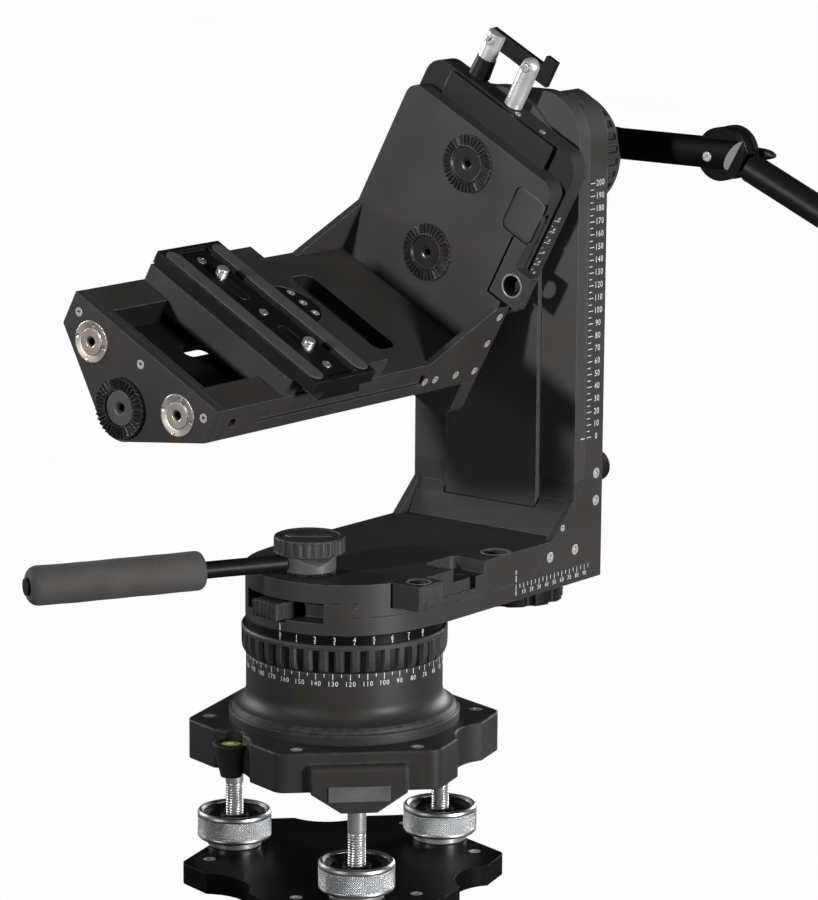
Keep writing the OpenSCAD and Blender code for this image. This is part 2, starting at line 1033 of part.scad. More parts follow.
module arm_plate() {
  color(grey)
    difference() {
      translate([0, 0, arm_z])
        linear_extrude(arm_top - arm_z)
          arm2d();
      plate_x(-arm_r - past, arm_len + past)
        dovetail2d(slide_gap);
      gusset_room();
      at_arm_lever()
        lever_pocket(arm_lever_len, lever_t, lever_scoop_deep);
      translate([arm_level_x, -arm_half + arm_level_in, arm_top - level_sink])
        cylinder(h = level_sink + past, r = level_r);
      translate([bar_x, 0, arm_top - knob_bolt_deep - slide_gap])
        cylinder(h = knob_bolt_deep + slide_gap + past, r = knob_bolt_r + run_gap);
    }
}

// Section of the two keys that guide the column slide, grown by a gap
module column_keys2d(gap) {
  for (s = [-1, 1])
    polygon([
      [slide_back - past, s * key_mid - key_neck - gap],
      [slide_back + key_d + gap, s * key_mid - key_half - gap],
      [slide_back + key_d + gap, s * key_mid + key_half + gap],
      [slide_back - past, s * key_mid + key_neck + gap]
    ]);
}

// Front view of the upright above a level, with round top corners
module column2d(z0) {
  translate([-arm_half, z0])
    square([2 * arm_half, upright_top - upright_round - z0]);
  translate([-arm_half + upright_round, z0])
    square([2 * (arm_half - upright_round), upright_top - z0]);
  for (s = [-1, 1])
    translate([s * (arm_half - upright_round), upright_top - upright_round])
      circle(upright_round);
}

module upright() {
  color(grey)
    difference() {
      union() {
        plate_x(back_x, arm_len)
          column2d(arm_top);
        plate_y(-arm_half, arm_half)
          polygon([[foot_x, arm_top], [arm_len, arm_top], [arm_len, foot_z], [foot_x + foot_lean, foot_z]]);
        for (s = [-1, 1])
          plate_y(s > 0 ? ledge_half : -arm_half, s > 0 ? arm_half : -ledge_half)
            polygon([
              [foot_x + foot_lean, foot_z], [arm_len, foot_z], [arm_len, ledge_z],
              [column_x, ledge_z], [column_x, foot_z + ledge_lean]
            ]);
      }
      translate([0, 0, ledge_z])
        linear_extrude(upright_h)
          column_keys2d(slide_gap);
      span([back_x - past, -slot_half, tilt_z - slot_half], [arm_len + past, slot_half, upright_top + past]);
      gusset_room();
      translate([arm_len, column_knob_y, arm_top + column_knob_up])
        rod_x(-column_bolt_deep - slide_gap, past, column_bolt_r + run_gap);
    }
}

// Screws of one gusset, or the holes that they seat in
module gusset_screw_set(s, hole) {
  for (p = gusset_screws)
    translate([arm_len - p[0], s * (arm_half - gusset_sink), arm_z + p[1]])
      rotate([-s * 90, 0, 0])
        if (hole)
          cylinder(h = gusset_sink + past, r = p[2]);
        else
          cap_screw(p[2], gusset_sink);
}

module arm_gussets() {
  color(grey)
    for (s = [-1, 1])
      difference() {
        plate_y(s > 0 ? arm_half - gusset_t : -arm_half, s > 0 ? arm_half : gusset_t - arm_half)
          gusset2d();
        gusset_screw_set(s, true);
      }
}

module arm_screws() {
  color(steel)
    for (s = [-1, 1])
      gusset_screw_set(s, false);
}

module arm_level() {
  color(yellow)
    translate([arm_level_x, -arm_half + arm_level_in, arm_top - level_sink])
      cylinder(h = level_sink, r = level_r);
}

module arm_lever() {
  color(black)
    at_arm_lever()
      clamp_lever(arm_lever_len, lever_t, lever_scoop_deep);
}

module bar_rosette() {
  color(black)
    translate([bar_x, 0, 0])
      ring(arm_top, arm_top + rosette_h, knob_bolt_r + run_gap, collar_r);
}

// Places a child at the pan bar's pivot, with Z along the bar
module along_bar() {
  translate([bar_x, 0, bar_z])
    rotate([0, 90, bar_angle])
      children();
}

module bar_collar() {
  color(black)
    difference() {
      translate([bar_x, 0, 0])
        ring(collar_z, collar_z + collar_h, knob_bolt_r + run_gap, collar_r);
      along_bar()
        translate([0, 0, collar_r - bar_root])
          cylinder(h = 2 * bar_root, r = bar_root_r);
    }
}

module pan_bar() {
  color(black)
    along_bar() {
      translate([0, 0, collar_r - bar_root])
        cylinder(h = 2 * bar_root, r = bar_root_r);
      translate([0, 0, collar_r])
        cylinder(h = grip_at + grip_len + nub_len - collar_r, r = bar_d / 2);
    }
}

module pan_bar_grip() {
  color(foam)
    along_bar()
      ring(grip_at, grip_at + grip_len, bar_d / 2, grip_d / 2);
}

module bar_knob() {
  color(black)
    translate([bar_x, 0, 0])
      difference() {
        union() {
          translate([0, 0, knob_z])
            cylinder(h = knob_h, r = knob_d / 2);
          translate([0, 0, arm_top - knob_bolt_deep])
            cylinder(h = knob_z - arm_top + knob_bolt_deep, r = knob_bolt_r);
        }
        for (i = [0:knob_flutes - 1])
          rotate(i * 360 / knob_flutes)
            translate([knob_d / 2 + knob_flute_r - knob_flute_deep, 0, knob_z - past])
              cylinder(h = knob_h - knob_lip + past, r = knob_flute_r, $fn = groove_fn);
      }
}

module column_slide() {
  inner = ledge_half - slide_gap;
  color(grey)
    difference() {
      union() {
        plate_x(column_x, slide_back)
          column2d(ledge_z + slide_gap);
        span([column_x, -inner, foot_z + slide_gap], [slide_back, inner, ledge_z + slide_t]);
        span([rail_x, -rail_half, foot_z + slide_gap], [slide_back, rail_half, rail_top]);
        translate([0, 0, tilt_z])
          rod_x(rail_x, slide_back, tilt_boss_r);
        intersection() {
          translate([0, 0, ledge_z + slide_gap])
            linear_extrude(upright_h)
              column_keys2d(0);
          plate_x(column_x, arm_len)
            column2d(ledge_z + slide_gap);
        }
      }
      translate([0, 0, tilt_z])
        rod_x(housing_x, slide_back + past, housing_r);
      translate([0, 0, tilt_z])
        rod_x(rail_x - past, slide_back, shaft_r + shaft_room);
    }
}

module column_knob() {
  color(black)
    translate([arm_len, column_knob_y, arm_top + column_knob_up]) {
      rod_x(slide_gap, column_knob_h, column_knob_r);
      rod_x(-column_bolt_deep, column_knob_h, column_bolt_r);
    }
}

module tilt_housing() {
  color(black)
    translate([0, 0, tilt_z])
      difference() {
        union() {
          rod_x(housing_x, housing_end, housing_r);
          rod_x(housing_x, ring2_end, spigot2_r);
        }
        rod_x(housing_x - past, ring2_end + past, shaft_r + shaft_room);
        rod_x(housing_x - past, housing_x + bearing_in + bearing_w, bearing_r);
        rod_x(ring2_end - bearing_end - bearing_w, ring2_end + past, bearing_r);
      }
}

module tilt_bearings() {
  color(steel)
    translate([0, 0, tilt_z])
      for (x = [housing_x + bearing_in, ring2_end - bearing_end - bearing_w])
        difference() {
          rod_x(x, x + bearing_w, bearing_r);
          rod_x(x - past, x + bearing_w + past, shaft_r + run_gap);
        }
}

module tilt_drag_ring() {
  color(black)
    translate([0, 0, tilt_z])
      difference() {
        rod_x(ring2_x, ring2_end, tilt_ring_r);
        rod_x(ring2_x - past, ring2_end + past, spigot2_r + run_gap);
        for (i = [0:ring2_ribs - 1])
          rotate([i * 360 / ring2_ribs, 0, 0])
            translate([0, tilt_ring_r + ring2_rib_r - rib_deep, 0])
              rod_x(ring2_x + ring2_lip, ring2_end - ring2_lip, ring2_rib_r, $fn = groove_fn);
      }
}

// Section of the key on the front of the tilt plate, grown by a gap
module lift_key2d(gap) {
  neck = key2_neck + gap;
  half = key2_half + gap;
  front = plate_front - key2_d - gap;
  polygon([
    [plate_front + past, -neck], [plate_front + past, neck], [side_back, neck],
    [front, half], [front, -half], [side_back, -neck]
  ]);
}

module tilt_plate() {
  color(grey)
    tilted()
      difference() {
        union() {
          plate_x(plate_front, plate_back)
            round_box2d(-tilt_half, tilt_half, -tilt_bottom, tilt_top, tilt_round);
          translate([0, 0, -tilt_bottom])
            linear_extrude(tilt_bottom + tilt_top - key2_short)
              lift_key2d(0);
        }
        span(
          [plate_front - 2 * key2_d, -lift_half - slide_gap, lift_low],
          [lift_back, lift_half + slide_gap, lift_high]
        );
        translate([lift_x, 0, lift_low - lift_foot])
          cylinder(h = tilt_top + lift_foot - lift_low + past, r = lift_r + run_gap);
        rod_x(plate_back - shaft_seat, plate_back + past, shaft_r);
      }
}

module tilt_shaft() {
  color(steel)
    translate([0, 0, tilt_z]) {
      rod_x(plate_back - shaft_seat, shaft_end, shaft_r);
      rod_x(shaft_end, shaft_end + shaft_cap, shaft_cap_r);
    }
}

module lift_screw() {
  color(steel)
    tilted()
      translate([lift_x, 0, lift_low - lift_foot + slide_gap])
        cylinder(h = crank_z - lift_low + lift_foot - slide_gap, r = lift_r);
}

module lift_nut() {
  color([0.75, 0.65, 0.35])
    tilted()
      difference() {
        span(
          [plate_front - key2_d - slide_gap, -lift_half, lift_nut_z],
          [lift_back - slide_gap, lift_half, lift_nut_z + lift_nut_h]
        );
        translate([lift_x, 0, lift_nut_z - past])
          cylinder(h = lift_nut_h + 2 * past, r = lift_r + run_gap);
      }
}

module crank_hub() {
  color(steel)
    tilted()
      difference() {
        union() {
          translate([lift_x, 0, crank_z])
            cylinder(h = crank_h - crank_r, r = crank_r);
          translate([lift_x, 0, crank_z + crank_h - crank_r])
            sphere(crank_r);
        }
        span(
          [crank_bar_x, -crank_r - past, crank_pin_z - crank_bar_h / 2],
          [lift_x + 2 * crank_r, crank_r + past, crank_z + crank_h + past]
        );
      }
}

module crank_arm() {
  color(black)
    tilted()
      translate([crank_bar_x, 0, crank_pin_z]) {
        span(
          [0, -crank_r, -crank_bar_h / 2],
          [crank_bar_t, crank_reach + crank_r, crank_bar_h / 2]
        );
        span(
          [0, -crank_tail, crank_tail_up - crank_tail_h / 2],
          [crank_bar_t, -crank_r, crank_tail_up + crank_tail_h / 2]
        );
        translate([0, crank_reach, 0])
          rod_x(-crank_bar_in - crank_r, 0, pin_r);
      }
}

module crank_grip() {
  color(steel)
    tilted()
      translate([lift_x, crank_reach, crank_pin_z])
        difference() {
          translate([0, 0, crank_grip_up - crank_grip_len])
            cylinder(h = crank_grip_len, r = crank_r);
          span(
            [crank_bar_in - slide_gap, -2 * crank_r, -crank_cut],
            [2 * crank_r, 2 * crank_r, crank_cut]
          );
          rod_x(-crank_r - past, crank_bar_in, pin_r + run_gap);
        }
}

module handle_clamp() {
  color(black)
    translate([0, 0, tilt_z])
      difference() {
        union() {
          rod_x(clamp_x, clamp_end, clamp_r);
          translate([handle_x, 0, handle_up])
            rod_y(0, socket_y, clamp_w / 2);
        }
        rod_x(clamp_x - past, clamp_end + past, shaft_r + run_gap);
        translate([handle_x, 0, handle_up])
          rod_y(socket_y - socket_deep, socket_y + past, tube_d / 2 - socket_in);
      }
}

// Frame of the handle: origin at the knuckle, hinge along X
module at_knuckle() {
  translate([handle_x, -knuckle_at, tilt_z + handle_up])
    children();
}

module handle_tube() {
  color(black)
    difference() {
      union() {
        translate([handle_x, 0, tilt_z + handle_up]) {
          rod_y(socket_y, knuckle_at, tube_d / 2);
          rod_y(socket_y - socket_deep, knuckle_at, tube_d / 2 - socket_in);
        }
        at_knuckle()
          rod_x(-clamp_w / 2, clamp_w / 2, knuckle_r);
      }
      at_knuckle() {
        rod_x(-fork_slot / 2, fork_slot / 2, knuckle_r + fork_room);
        rod_x(-clamp_w, clamp_w, wing_bolt_r + run_gap);
      }
    }
}

module handle_bar() {
  half = fork_slot / 2 - slide_gap;
  color(black)
    at_knuckle()
      rotate([bend, 0, 0])
        difference() {
          union() {
            rod_x(-half, half, eye_r);
            rod_y(eye_r - neck_in, outer_at + neck_in, half);
            rod_y(outer_at, outer_len, tube_d / 2);
            rod_y(outer_at, outer_len + handle_grip_len, core_r);
          }
          rod_x(-clamp_w, clamp_w, wing_bolt_r + run_gap);
        }
}

module handle_grip() {
  color(foam)
    at_knuckle()
      rotate([bend, 0, 0])
        difference() {
          rod_y(outer_len, outer_len + handle_grip_len, grip2_r);
          rod_y(outer_len - past, outer_len + handle_grip_len + past, core_r);
        }
}

module handle_wing() {
  x = clamp_w / 2 + slide_gap;
  color(black)
    at_knuckle() {
      rod_x(-clamp_w / 2, x, wing_bolt_r);
      rod_x(x, x + wing_head, wing_head_r);
      span([x + wing_head - wing_t, -wing_len, -wing_w / 2], [x + wing_head, 0, wing_w / 2]);
    }
}

// Places a child at the side lever's hinge, on the front of the side plate, with its bar downwards
module at_side_lever() {
  translate([side_x, -plat_half + lever_in, side_lever_z])
    rotate([0, -90, 0])
      children();
}

// Drawing of a platform gusset, over the edges of the side plate and the bottom plate
module plat_gusset2d() {
  x = side_back - plat_gusset_leg;
  top = floor_z + plat_gusset_up;
  polygon([[side_back, floor_low], [x, floor_low], [x, floor_z], [side_x, top], [side_back, top]]);
}

// Room that the two gussets take out of the platform
module plat_gusset_room() {
  for (s = [-1, 1])
    plate_y(s * plat_half - plat_gusset_t, s * plat_half + plat_gusset_t)
      plat_gusset2d();
}

module side_plate() {
  color(grey)
    tilted()
      difference() {
        plate_x(side_x, side_back)
          round_box2d(-plat_half, plat_half, -side_bottom, side_top, side_round);
        translate([0, 0, -side_bottom - past])
          linear_extrude(side_bottom + side_top + 2 * past)
            lift_key2d(slide_gap);
        for (z = rosette_z)
          translate([0, 0, z])
            rod_x(side_x - past, side_x + thread_deep, thread_r);
        at_side_lever()
          lever_pocket(side_lever_len, side_lever_t, side_scoop_deep);
        plat_gusset_room();
      }
}

module side_rosettes() {
  color(black)
    tilted()
      for (z = rosette_z)
        translate([side_x, 0, z])
          difference() {
            rod_x(-rosette_t, 0, rosette_r);
            rod_x(-rosette_t - past, past, thread_r + rosette_room);
          }
}

module bottom_plate() {
  color(grey)
    tilted()
      difference() {
        span([nose_back, -plat_half, floor_low], [side_x, plat_half, floor_z]);
        span(
          [window_x, -window_half, floor_z - window_deep],
          [window_end, window_half, floor_z + past]
        );
        translate([window_end - window_slot_in, window_slot_y, floor_low - past])
          linear_extrude(floor_t)
            round_box2d(
              -window_slot_l, 0, -window_slot_w / 2, window_slot_w / 2, window_slot_r
            );
        translate([long_slot_at, 0, floor_z - long_slot_deep])
          linear_extrude(long_slot_deep + past)
            round_box2d(
              -long_slot_w / 2, long_slot_w / 2, -long_slot_half, long_slot_half, long_slot_round
            );
        for (s = [-1, 1])
          translate([nose_back + edge_hole_at, s * plat_half, floor_z - floor_t / 2]) {
            rotate([90, 0, 0])
              cylinder(h = 2 * edge_hole_deep, r = edge_hole_r, center = true);
            translate([2 * edge_hole_at, -groove_deep, -groove_h / 2])
              cube([plat_len, 2 * groove_deep, groove_h]);
          }
        plat_gusset_room();
      }
}

// Front view of the nose's bar, whose lower edges run down to the round around the rosette
module nose2d() {
  dx = plat_half;
  dz = floor_low - nose_c;
  r = nose_round - nose_inset;
  a = atan2(dz, dx) - acos(r / norm([dx, dz]));
  tx = r * cos(a);
  tz = nose_c + r * sin(a);
  polygon([
    [-plat_half, floor_z], [plat_half, floor_z], [plat_half, floor_low],
    [tx, tz], [-tx, tz], [-plat_half, floor_low]
  ]);
}

// Places a child at each screw on the front of the nose
module at_nose_screws() {
  for (s = [-1, 0, 1])
    translate([nose_x + screw_sink, s * nose_screw_y, floor_z - nose_screw_drop])
      rotate([0, -90, 0])
        children();
}

module nose_plate() {
  color(grey)
    tilted()
      difference() {
        union() {
          plate_x(nose_x, nose_back)
            nose2d();
          translate([0, 0, nose_c])
            rod_x(nose_x, nose_back, nose_round);
        }
        for (s = [-1, 1])
          translate([0, s * insert_y, floor_z - insert_drop])
            rod_x(nose_x - past, nose_back + past, thread_r);
        at_nose_screws()
          cylinder(h = screw_sink + past, r = screw_r);
        translate([0, 0, nose_c])
          rod_x(nose_x - past, nose_back + past, thread_r);
      }
}

module nose_rosette() {
  color(black)
    tilted()
      translate([nose_x, 0, nose_c])
        difference() {
          rod_x(-nose_rosette_t, 0, rosette_r);
          rod_x(-nose_rosette_t - past, past, thread_r + rosette_room);
        }
}

module nose_inserts() {
  color([0.78, 0.74, 0.62])
    tilted()
      for (s = [-1, 1])
        translate([nose_x, s * insert_y, floor_z - insert_drop])
          difference() {
            rod_x(-insert_t, 0, insert_r);
            rod_x(-insert_t - past, past, thread_r + rosette_room);
          }
}

// Places a child at each screw of the platform gussets, seated on the gusset's recess
module at_plat_screws() {
  for (s = [-1, 1], p = plat_screws)
    translate([side_back + p[0], s * (plat_half - gusset_sink), floor_low + p[1]])
      rotate([-s * 90, 0, 0])
        children();
}

// Places a child at each screw of the inset disc, seated under the disc
module at_inset_screws() {
  for (s = [-1, 0, 1])
    translate([inset_x + inset_screw_x, inset_y + s * inset_screw_y, inset_z])
      children();
}

module platform_gussets() {
  color(grey)
    tilted()
      difference() {
        for (s = [-1, 1])
          plate_y(
            s > 0 ? plat_half - plat_gusset_t : -plat_half,
            s > 0 ? plat_half : plat_gusset_t - plat_half
          )
            plat_gusset2d();
        at_plat_screws()
          cylinder(h = gusset_sink + past, r = screw_r);
      }
}

module platform_screws() {
  color(steel)
    tilted() {
      at_plat_screws()
        cap_screw(screw_r, gusset_sink);
      at_nose_screws()
        cap_screw(screw_r, screw_sink);
      at_inset_screws()
        cap_screw(screw_r, inset_t);
    }
}

module platform_lever() {
  color(black)
    tilted()
      at_side_lever()
        clamp_lever(side_lever_len, side_lever_t, side_scoop_deep);
}

// Section of the camera plate's key, grown by a gap
module cam_key2d(gap) {
  low = cam_low - cam_key_d - gap;
  polygon([
    [cam_x - cam_key_neck - gap, cam_low], [cam_x - cam_key_half - gap, low],
    [cam_x + cam_key_half + gap, low], [cam_x + cam_key_neck + gap, cam_low]
  ]);
}

module cross_block() {
  color(grey)
    tilted()
      difference() {
        union() {
          span(
            [block_x, -block_len / 2, floor_z],
            [cam_x + cam_w / 2 + block_right, block_len / 2, block_top]
          );
          span(
            [block_x, -window_half + slide_gap, floor_z - keel_d],
            [window_end - slide_gap, window_half - slide_gap, floor_z + keel_in]
          );
        }
        translate([inset_x, inset_y, inset_z])
          cylinder(h = inset_t + inset_drop + past, r = inset_r);
        plate_y(-plat_half, plat_half)
          cam_key2d(slide_gap);
      }
}

module inset_disc() {
  color(black)
    tilted()
      difference() {
        translate([inset_x, inset_y, inset_z])
          cylinder(h = inset_t, r = inset_r);
        at_inset_screws()
          translate([0, 0, -past])
            cylinder(h = inset_t + 2 * past, r = screw_r);
      }
}

// Places a child in the middle of the camera plate, on its underside
module at_camera() {
  translate([cam_x, -cam_shift, cam_low])
    children();
}

// Places a child at one camera screw
module at_cam_screw(s) {
  at_camera()
    translate([0, s * screw_pitch / 2 + cam_screw_mid, 0])
      children();
}

// Recesses for the two rubber strips, or the strips themselves
module strips(z) {
  for (s = [-1, 1])
    translate([s * pad_at, 0, z])
      linear_extrude(pad_h) {
        square([pad_w, pad_len - pad_w], center = true);
        for (e = [-1, 1])
          translate([0, e * (pad_len - pad_w) / 2])
            circle(pad_w / 2);
      }
}

module camera_plate() {
  color(grey)
    tilted()
      difference() {
        union() {
          at_camera()
            span([-cam_w / 2, -cam_len / 2, 0], [cam_w / 2, cam_len / 2, cam_t]);
          plate_y(-cam_shift - cam_len / 2, -cam_shift + cam_len / 2)
            cam_key2d(0);
        }
        at_camera() {
          strips(cam_t - pad_sink);
          translate([-channel_w / 2, -pad_len / 2, cam_t - channel_d])
            cube([channel_w, pad_len, channel_d + past]);
        }
        for (s = [-1, 1])
          at_cam_screw(s) {
            translate([0, 0, -cam_key_d - past])
              cylinder(h = cam_key_d - cam_head_in + past, r = cam_head_r + cam_pocket_gap);
            translate([0, 0, -cam_key_d])
              cylinder(h = cam_key_d + cam_t, r = cam_screw_d / 2 + run_gap);
          }
      }
}

module camera_pads() {
  color([0.42, 0.42, 0.42])
    tilted()
      at_camera()
        strips(cam_t - pad_sink);
}

module camera_screw(s) {
  color(steel)
    tilted()
      at_cam_screw(s)
        difference() {
          translate([0, 0, -cam_head_in - cam_head_h]) {
            cylinder(h = cam_head_h - slide_gap, r = cam_head_r);
            cylinder(h = cam_head_h + cam_head_in + cam_t - channel_d + cam_screw_up, r = cam_screw_d / 2);
          }
          translate([0, 0, cam_t - channel_d])
            ring(0, cam_relief, cam_screw_d / 2 - cam_relief_deep, cam_head_r);
        }
}

module camera_screw_rear() {
  camera_screw(1);
}

module camera_screw_front() {
  camera_screw(-1);
}

base_plate();
levelling_studs();
levelling_flange();
base_screws();
bare_plate();
base_level();
pan_drum();
pan_spindle();
pan_bearings();
levelling_nut_front();
levelling_nut_right();
levelling_nut_left();
turntable();
drag_discs();
pan_drag_ring();
pan_brake_lever();
heel_knob();
arm_plate();
upright();
arm_gussets();
arm_screws();
arm_level();
arm_lever();
bar_rosette();
bar_collar();
pan_bar();
pan_bar_grip();
bar_knob();
column_slide();
column_knob();
tilt_housing();
tilt_bearings();
tilt_drag_ring();
tilt_plate();
tilt_shaft();
lift_screw();
lift_nut();
crank_hub();
crank_arm();
crank_grip();
handle_clamp();
handle_tube();
handle_bar();
handle_grip();
handle_wing();
side_plate();
side_rosettes();
bottom_plate();
nose_plate();
nose_rosette();
nose_inserts();
platform_gussets();
platform_screws();
platform_lever();
cross_block();
inset_disc();
camera_plate();
camera_pads();
camera_screw_rear();
camera_screw_front();
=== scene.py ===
"""Looks of a nodal head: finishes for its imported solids, and the fine pieces that the solids leave plain.

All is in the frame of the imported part. Lengths are millimetres until a mesh is made. Finishes, floor, lights
and camera are in metres.
"""

import json
import math

import bpy
import numpy as np
from mathutils import Matrix, Vector


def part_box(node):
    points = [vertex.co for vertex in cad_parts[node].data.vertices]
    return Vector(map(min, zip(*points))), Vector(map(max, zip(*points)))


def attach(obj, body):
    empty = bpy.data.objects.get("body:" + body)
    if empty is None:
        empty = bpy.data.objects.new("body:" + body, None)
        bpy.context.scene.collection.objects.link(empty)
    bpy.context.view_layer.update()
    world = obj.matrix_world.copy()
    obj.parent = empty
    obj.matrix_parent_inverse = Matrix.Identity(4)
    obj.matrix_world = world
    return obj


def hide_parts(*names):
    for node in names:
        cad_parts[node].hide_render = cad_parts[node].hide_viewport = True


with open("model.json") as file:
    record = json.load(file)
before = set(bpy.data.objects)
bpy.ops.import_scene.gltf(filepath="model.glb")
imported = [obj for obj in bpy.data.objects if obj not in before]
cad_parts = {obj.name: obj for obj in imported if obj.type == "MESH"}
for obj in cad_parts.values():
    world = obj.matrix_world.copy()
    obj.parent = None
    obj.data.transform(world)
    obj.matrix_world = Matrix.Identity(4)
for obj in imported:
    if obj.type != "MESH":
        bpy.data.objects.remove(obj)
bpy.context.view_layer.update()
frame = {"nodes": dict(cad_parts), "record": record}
NODES = frame["nodes"]

TAU = 2 * math.pi
MM = 0.001  # a millimetre in metres
PER_M = 1000  # millimetres in a metre
SMOOTH = 32  # edges bent by less than this, in degrees, are shaded smooth
TILT_Z = 536.5  # height of the tilt axis
TILT_REST = math.radians(28)  # tilt of the platform in the photograph
ARM_TOP = 249.8
STUD_CIRCLE = 93.0
STUDS = {"front": 225, "right": 345, "left": 105}  # degrees round the pan axis
BAR_ANGLE = math.radians(152)  # where the pan bar points
BAR_X = -42.0  # pivot of the pan bar
SIDE_X = 147.0  # front of the platform's side plate
CAMERA_X = -46.5  # middle of the camera plate
CHANNEL_Z = -102.2  # floor of the camera plate's channel, from the tilt axis
CAMERA_SCREW_Z = -109.2  # seat of the camera screws, from the tilt axis
NOSE_X = -158.5  # front of the nose plate
TILT_PLATE_TOP = 53  # above the tilt axis
CRANK_X = 165.3  # front of the crank
TUBE_X = 289.3  # front of the handle tube
SIDE_Y = -79.0  # right side of arm, upright and turntable, where scales are painted
DRUM_R = 75.0  # drum with the degree scale
BAND_R = 75.4  # band with the drag numbers
TURNTABLE_R = 75.5


# Places: each is a matrix whose Z axis is the axis of the piece


def place(origin, axis, side):
    """Matrix with its origin at a point, Z along axis and X as near to side as it can be."""
    z = Vector(axis).normalized()
    x = (Vector(side) - z * Vector(side).dot(z)).normalized()
    y = z.cross(x)
    return np.array(Matrix((x, y, z)).transposed().to_4x4()) + np.pad(
        np.array(origin, float).reshape(3, 1), ((0, 1), (3, 0))
    )


def upright_at(x, y, z=0.0):
    """A place with its axis straight up."""
    return place((x, y, z), (0, 0, 1), (1, 0, 0))


def platform_point(x, y, z):
    """A point of the tilted platform, whose frame turns about the tilt axis."""
    c, s = math.cos(TILT_REST), math.sin(TILT_REST)
    return (x, y * c - z * s, TILT_Z + y * s + z * c)


PLATFORM_UP = (0, -math.sin(TILT_REST), math.cos(TILT_REST))
PLATFORM_SIDE = (0, math.cos(TILT_REST), math.sin(TILT_REST))


def platform_axis(x, y, z):
    """A place on the platform with its axis square to the platform's floor."""
    return place(platform_point(x, y, z), PLATFORM_UP, (1, 0, 0))


def platform_face(x, y, z):
    """A place on the platform with its axis towards the front, away from the upright."""
    return place(platform_point(x, y, z), (-1, 0, 0), PLATFORM_SIDE)


# Meshes from whole arrays of points


def make_piece(name, points, loops, sizes, uv, smooth_angle=SMOOTH):
    """A piece whose mesh has these points, in millimetres, and faces. uv has a pair in metres for each
    corner of a face."""
    me = bpy.data.meshes.new(name)
    me.vertices.add(len(points))
    me.vertices.foreach_set("co", (np.asarray(points, float) * MM).ravel())
    me.loops.add(len(loops))
    me.loops.foreach_set("vertex_index", np.asarray(loops, np.int32))
    me.polygons.add(len(sizes))
    me.polygons.foreach_set("loop_start", (np.cumsum(sizes) - sizes).astype(np.int32))
    me.update(calc_edges=True)
    layer = me.uv_layers.new(name="turned")
    layer.data.foreach_set("uv", np.asarray(uv, float).ravel())
    me.polygons.foreach_set("use_smooth", np.ones(len(sizes), bool))
    me.set_sharp_from_angle(angle=math.radians(smooth_angle))
    obj = bpy.data.objects.new(name, me)
    bpy.context.scene.collection.objects.link(obj)
    return obj


def grid_faces(points, closed):
    """Corners of the faces of a grid of points whose columns run round: squares between neighbours, and
    a flat lid on the first and last row unless the rows close to a ring. The winding is turned where the
    volume, by the divergence theorem, comes out negative."""
    m, n = points.shape[:2]
    i = np.arange(m if closed else m - 1)[:, None]
    j = np.arange(n)[None, :]
    low, high = i * n, ((i + 1) % m) * n
    right = (j + 1) % n
    quads = np.stack([low + j, low + right, high + right, high + j], -1).reshape(-1, 4)
    steps = np.stack(np.broadcast_arrays(j, j + 1, j + 1, j), -1)
    steps = np.broadcast_to(steps, (len(i), n, 4)).reshape(-1, 4)
    rows = np.stack(np.broadcast_arrays(i, i, i + 1, i + 1), -1)
    rows = np.broadcast_to(rows, (len(i), n, 4)).reshape(-1, 4)
    flat = points.reshape(-1, 3)
    p = flat[quads]
    volume = np.einsum("ij,ij->i", p[:, 0], np.cross(p[:, 1], p[:, 2])).sum()
    volume += np.einsum("ij,ij->i", p[:, 0], np.cross(p[:, 2], p[:, 3])).sum()
    lids = np.zeros((0, n), int) if closed else np.stack([np.arange(n)[::-1], (m - 1) * n + np.arange(n)])
    for lid in lids:
        fan = flat[lid]
        tip = np.broadcast_to(fan[:1], (n - 2, 3))
        volume += np.einsum("ij,ij->i", tip, np.cross(fan[1:-1], fan[2:])).sum()
    if volume < 0:
        quads, steps, rows, lids = quads[:, ::-1], steps[:, ::-1], rows[:, ::-1], lids[:, ::-1]
    return quads, steps, rows, lids


def grid_piece(name, points, around, along, closed=False, smooth_angle=SMOOTH):
    """A piece from one or more grids of points [grid, row, column]; around and along are the lengths, in
    millimetres, that the UV map gives to a turn of the columns and to the rows."""
    points = np.asarray(points, float)
    if points.ndim == 3:
        points = points[None]
    k, m, n = points.shape[:3]
    quads, steps, rows, lids = grid_faces(points[0], closed)
    shift = (np.arange(k) * m * n)[:, None, None]
    loops = np.concatenate([(quads + shift).reshape(-1), (lids + shift).reshape(-1)])
    sizes = np.concatenate([np.full(len(quads) * k, 4), np.full(len(lids) * k, n)])
    run = np.append(along, along[-1] + (along[-1] - along[-2]))
    uv = np.stack([steps * around / n, run[rows]], -1).reshape(-1, 2) * MM
    uv = np.concatenate([np.tile(uv, (k, 1)), np.zeros((lids.size * k, 2))])
    return make_piece(name, points.reshape(-1, 3), loops, sizes, uv, smooth_angle)


def moved(points, where):
    """Points taken through a place's matrix."""
    return points @ where[:3, :3].T + where[:3, 3]


def fine(corners, step):
    """The corners of a profile with more points between them, no further apart than step."""
    c = np.asarray(corners, float)
    n = np.maximum(1, np.ceil(np.linalg.norm(np.diff(c, axis=0), axis=1) / step)).astype(int)
    at = np.concatenate([np.arange(k) / k + i for i, k in enumerate(n)] + [[len(n)]])
    return np.stack([np.interp(at, np.arange(len(c)), c[:, q]) for q in (0, 1)], -1)


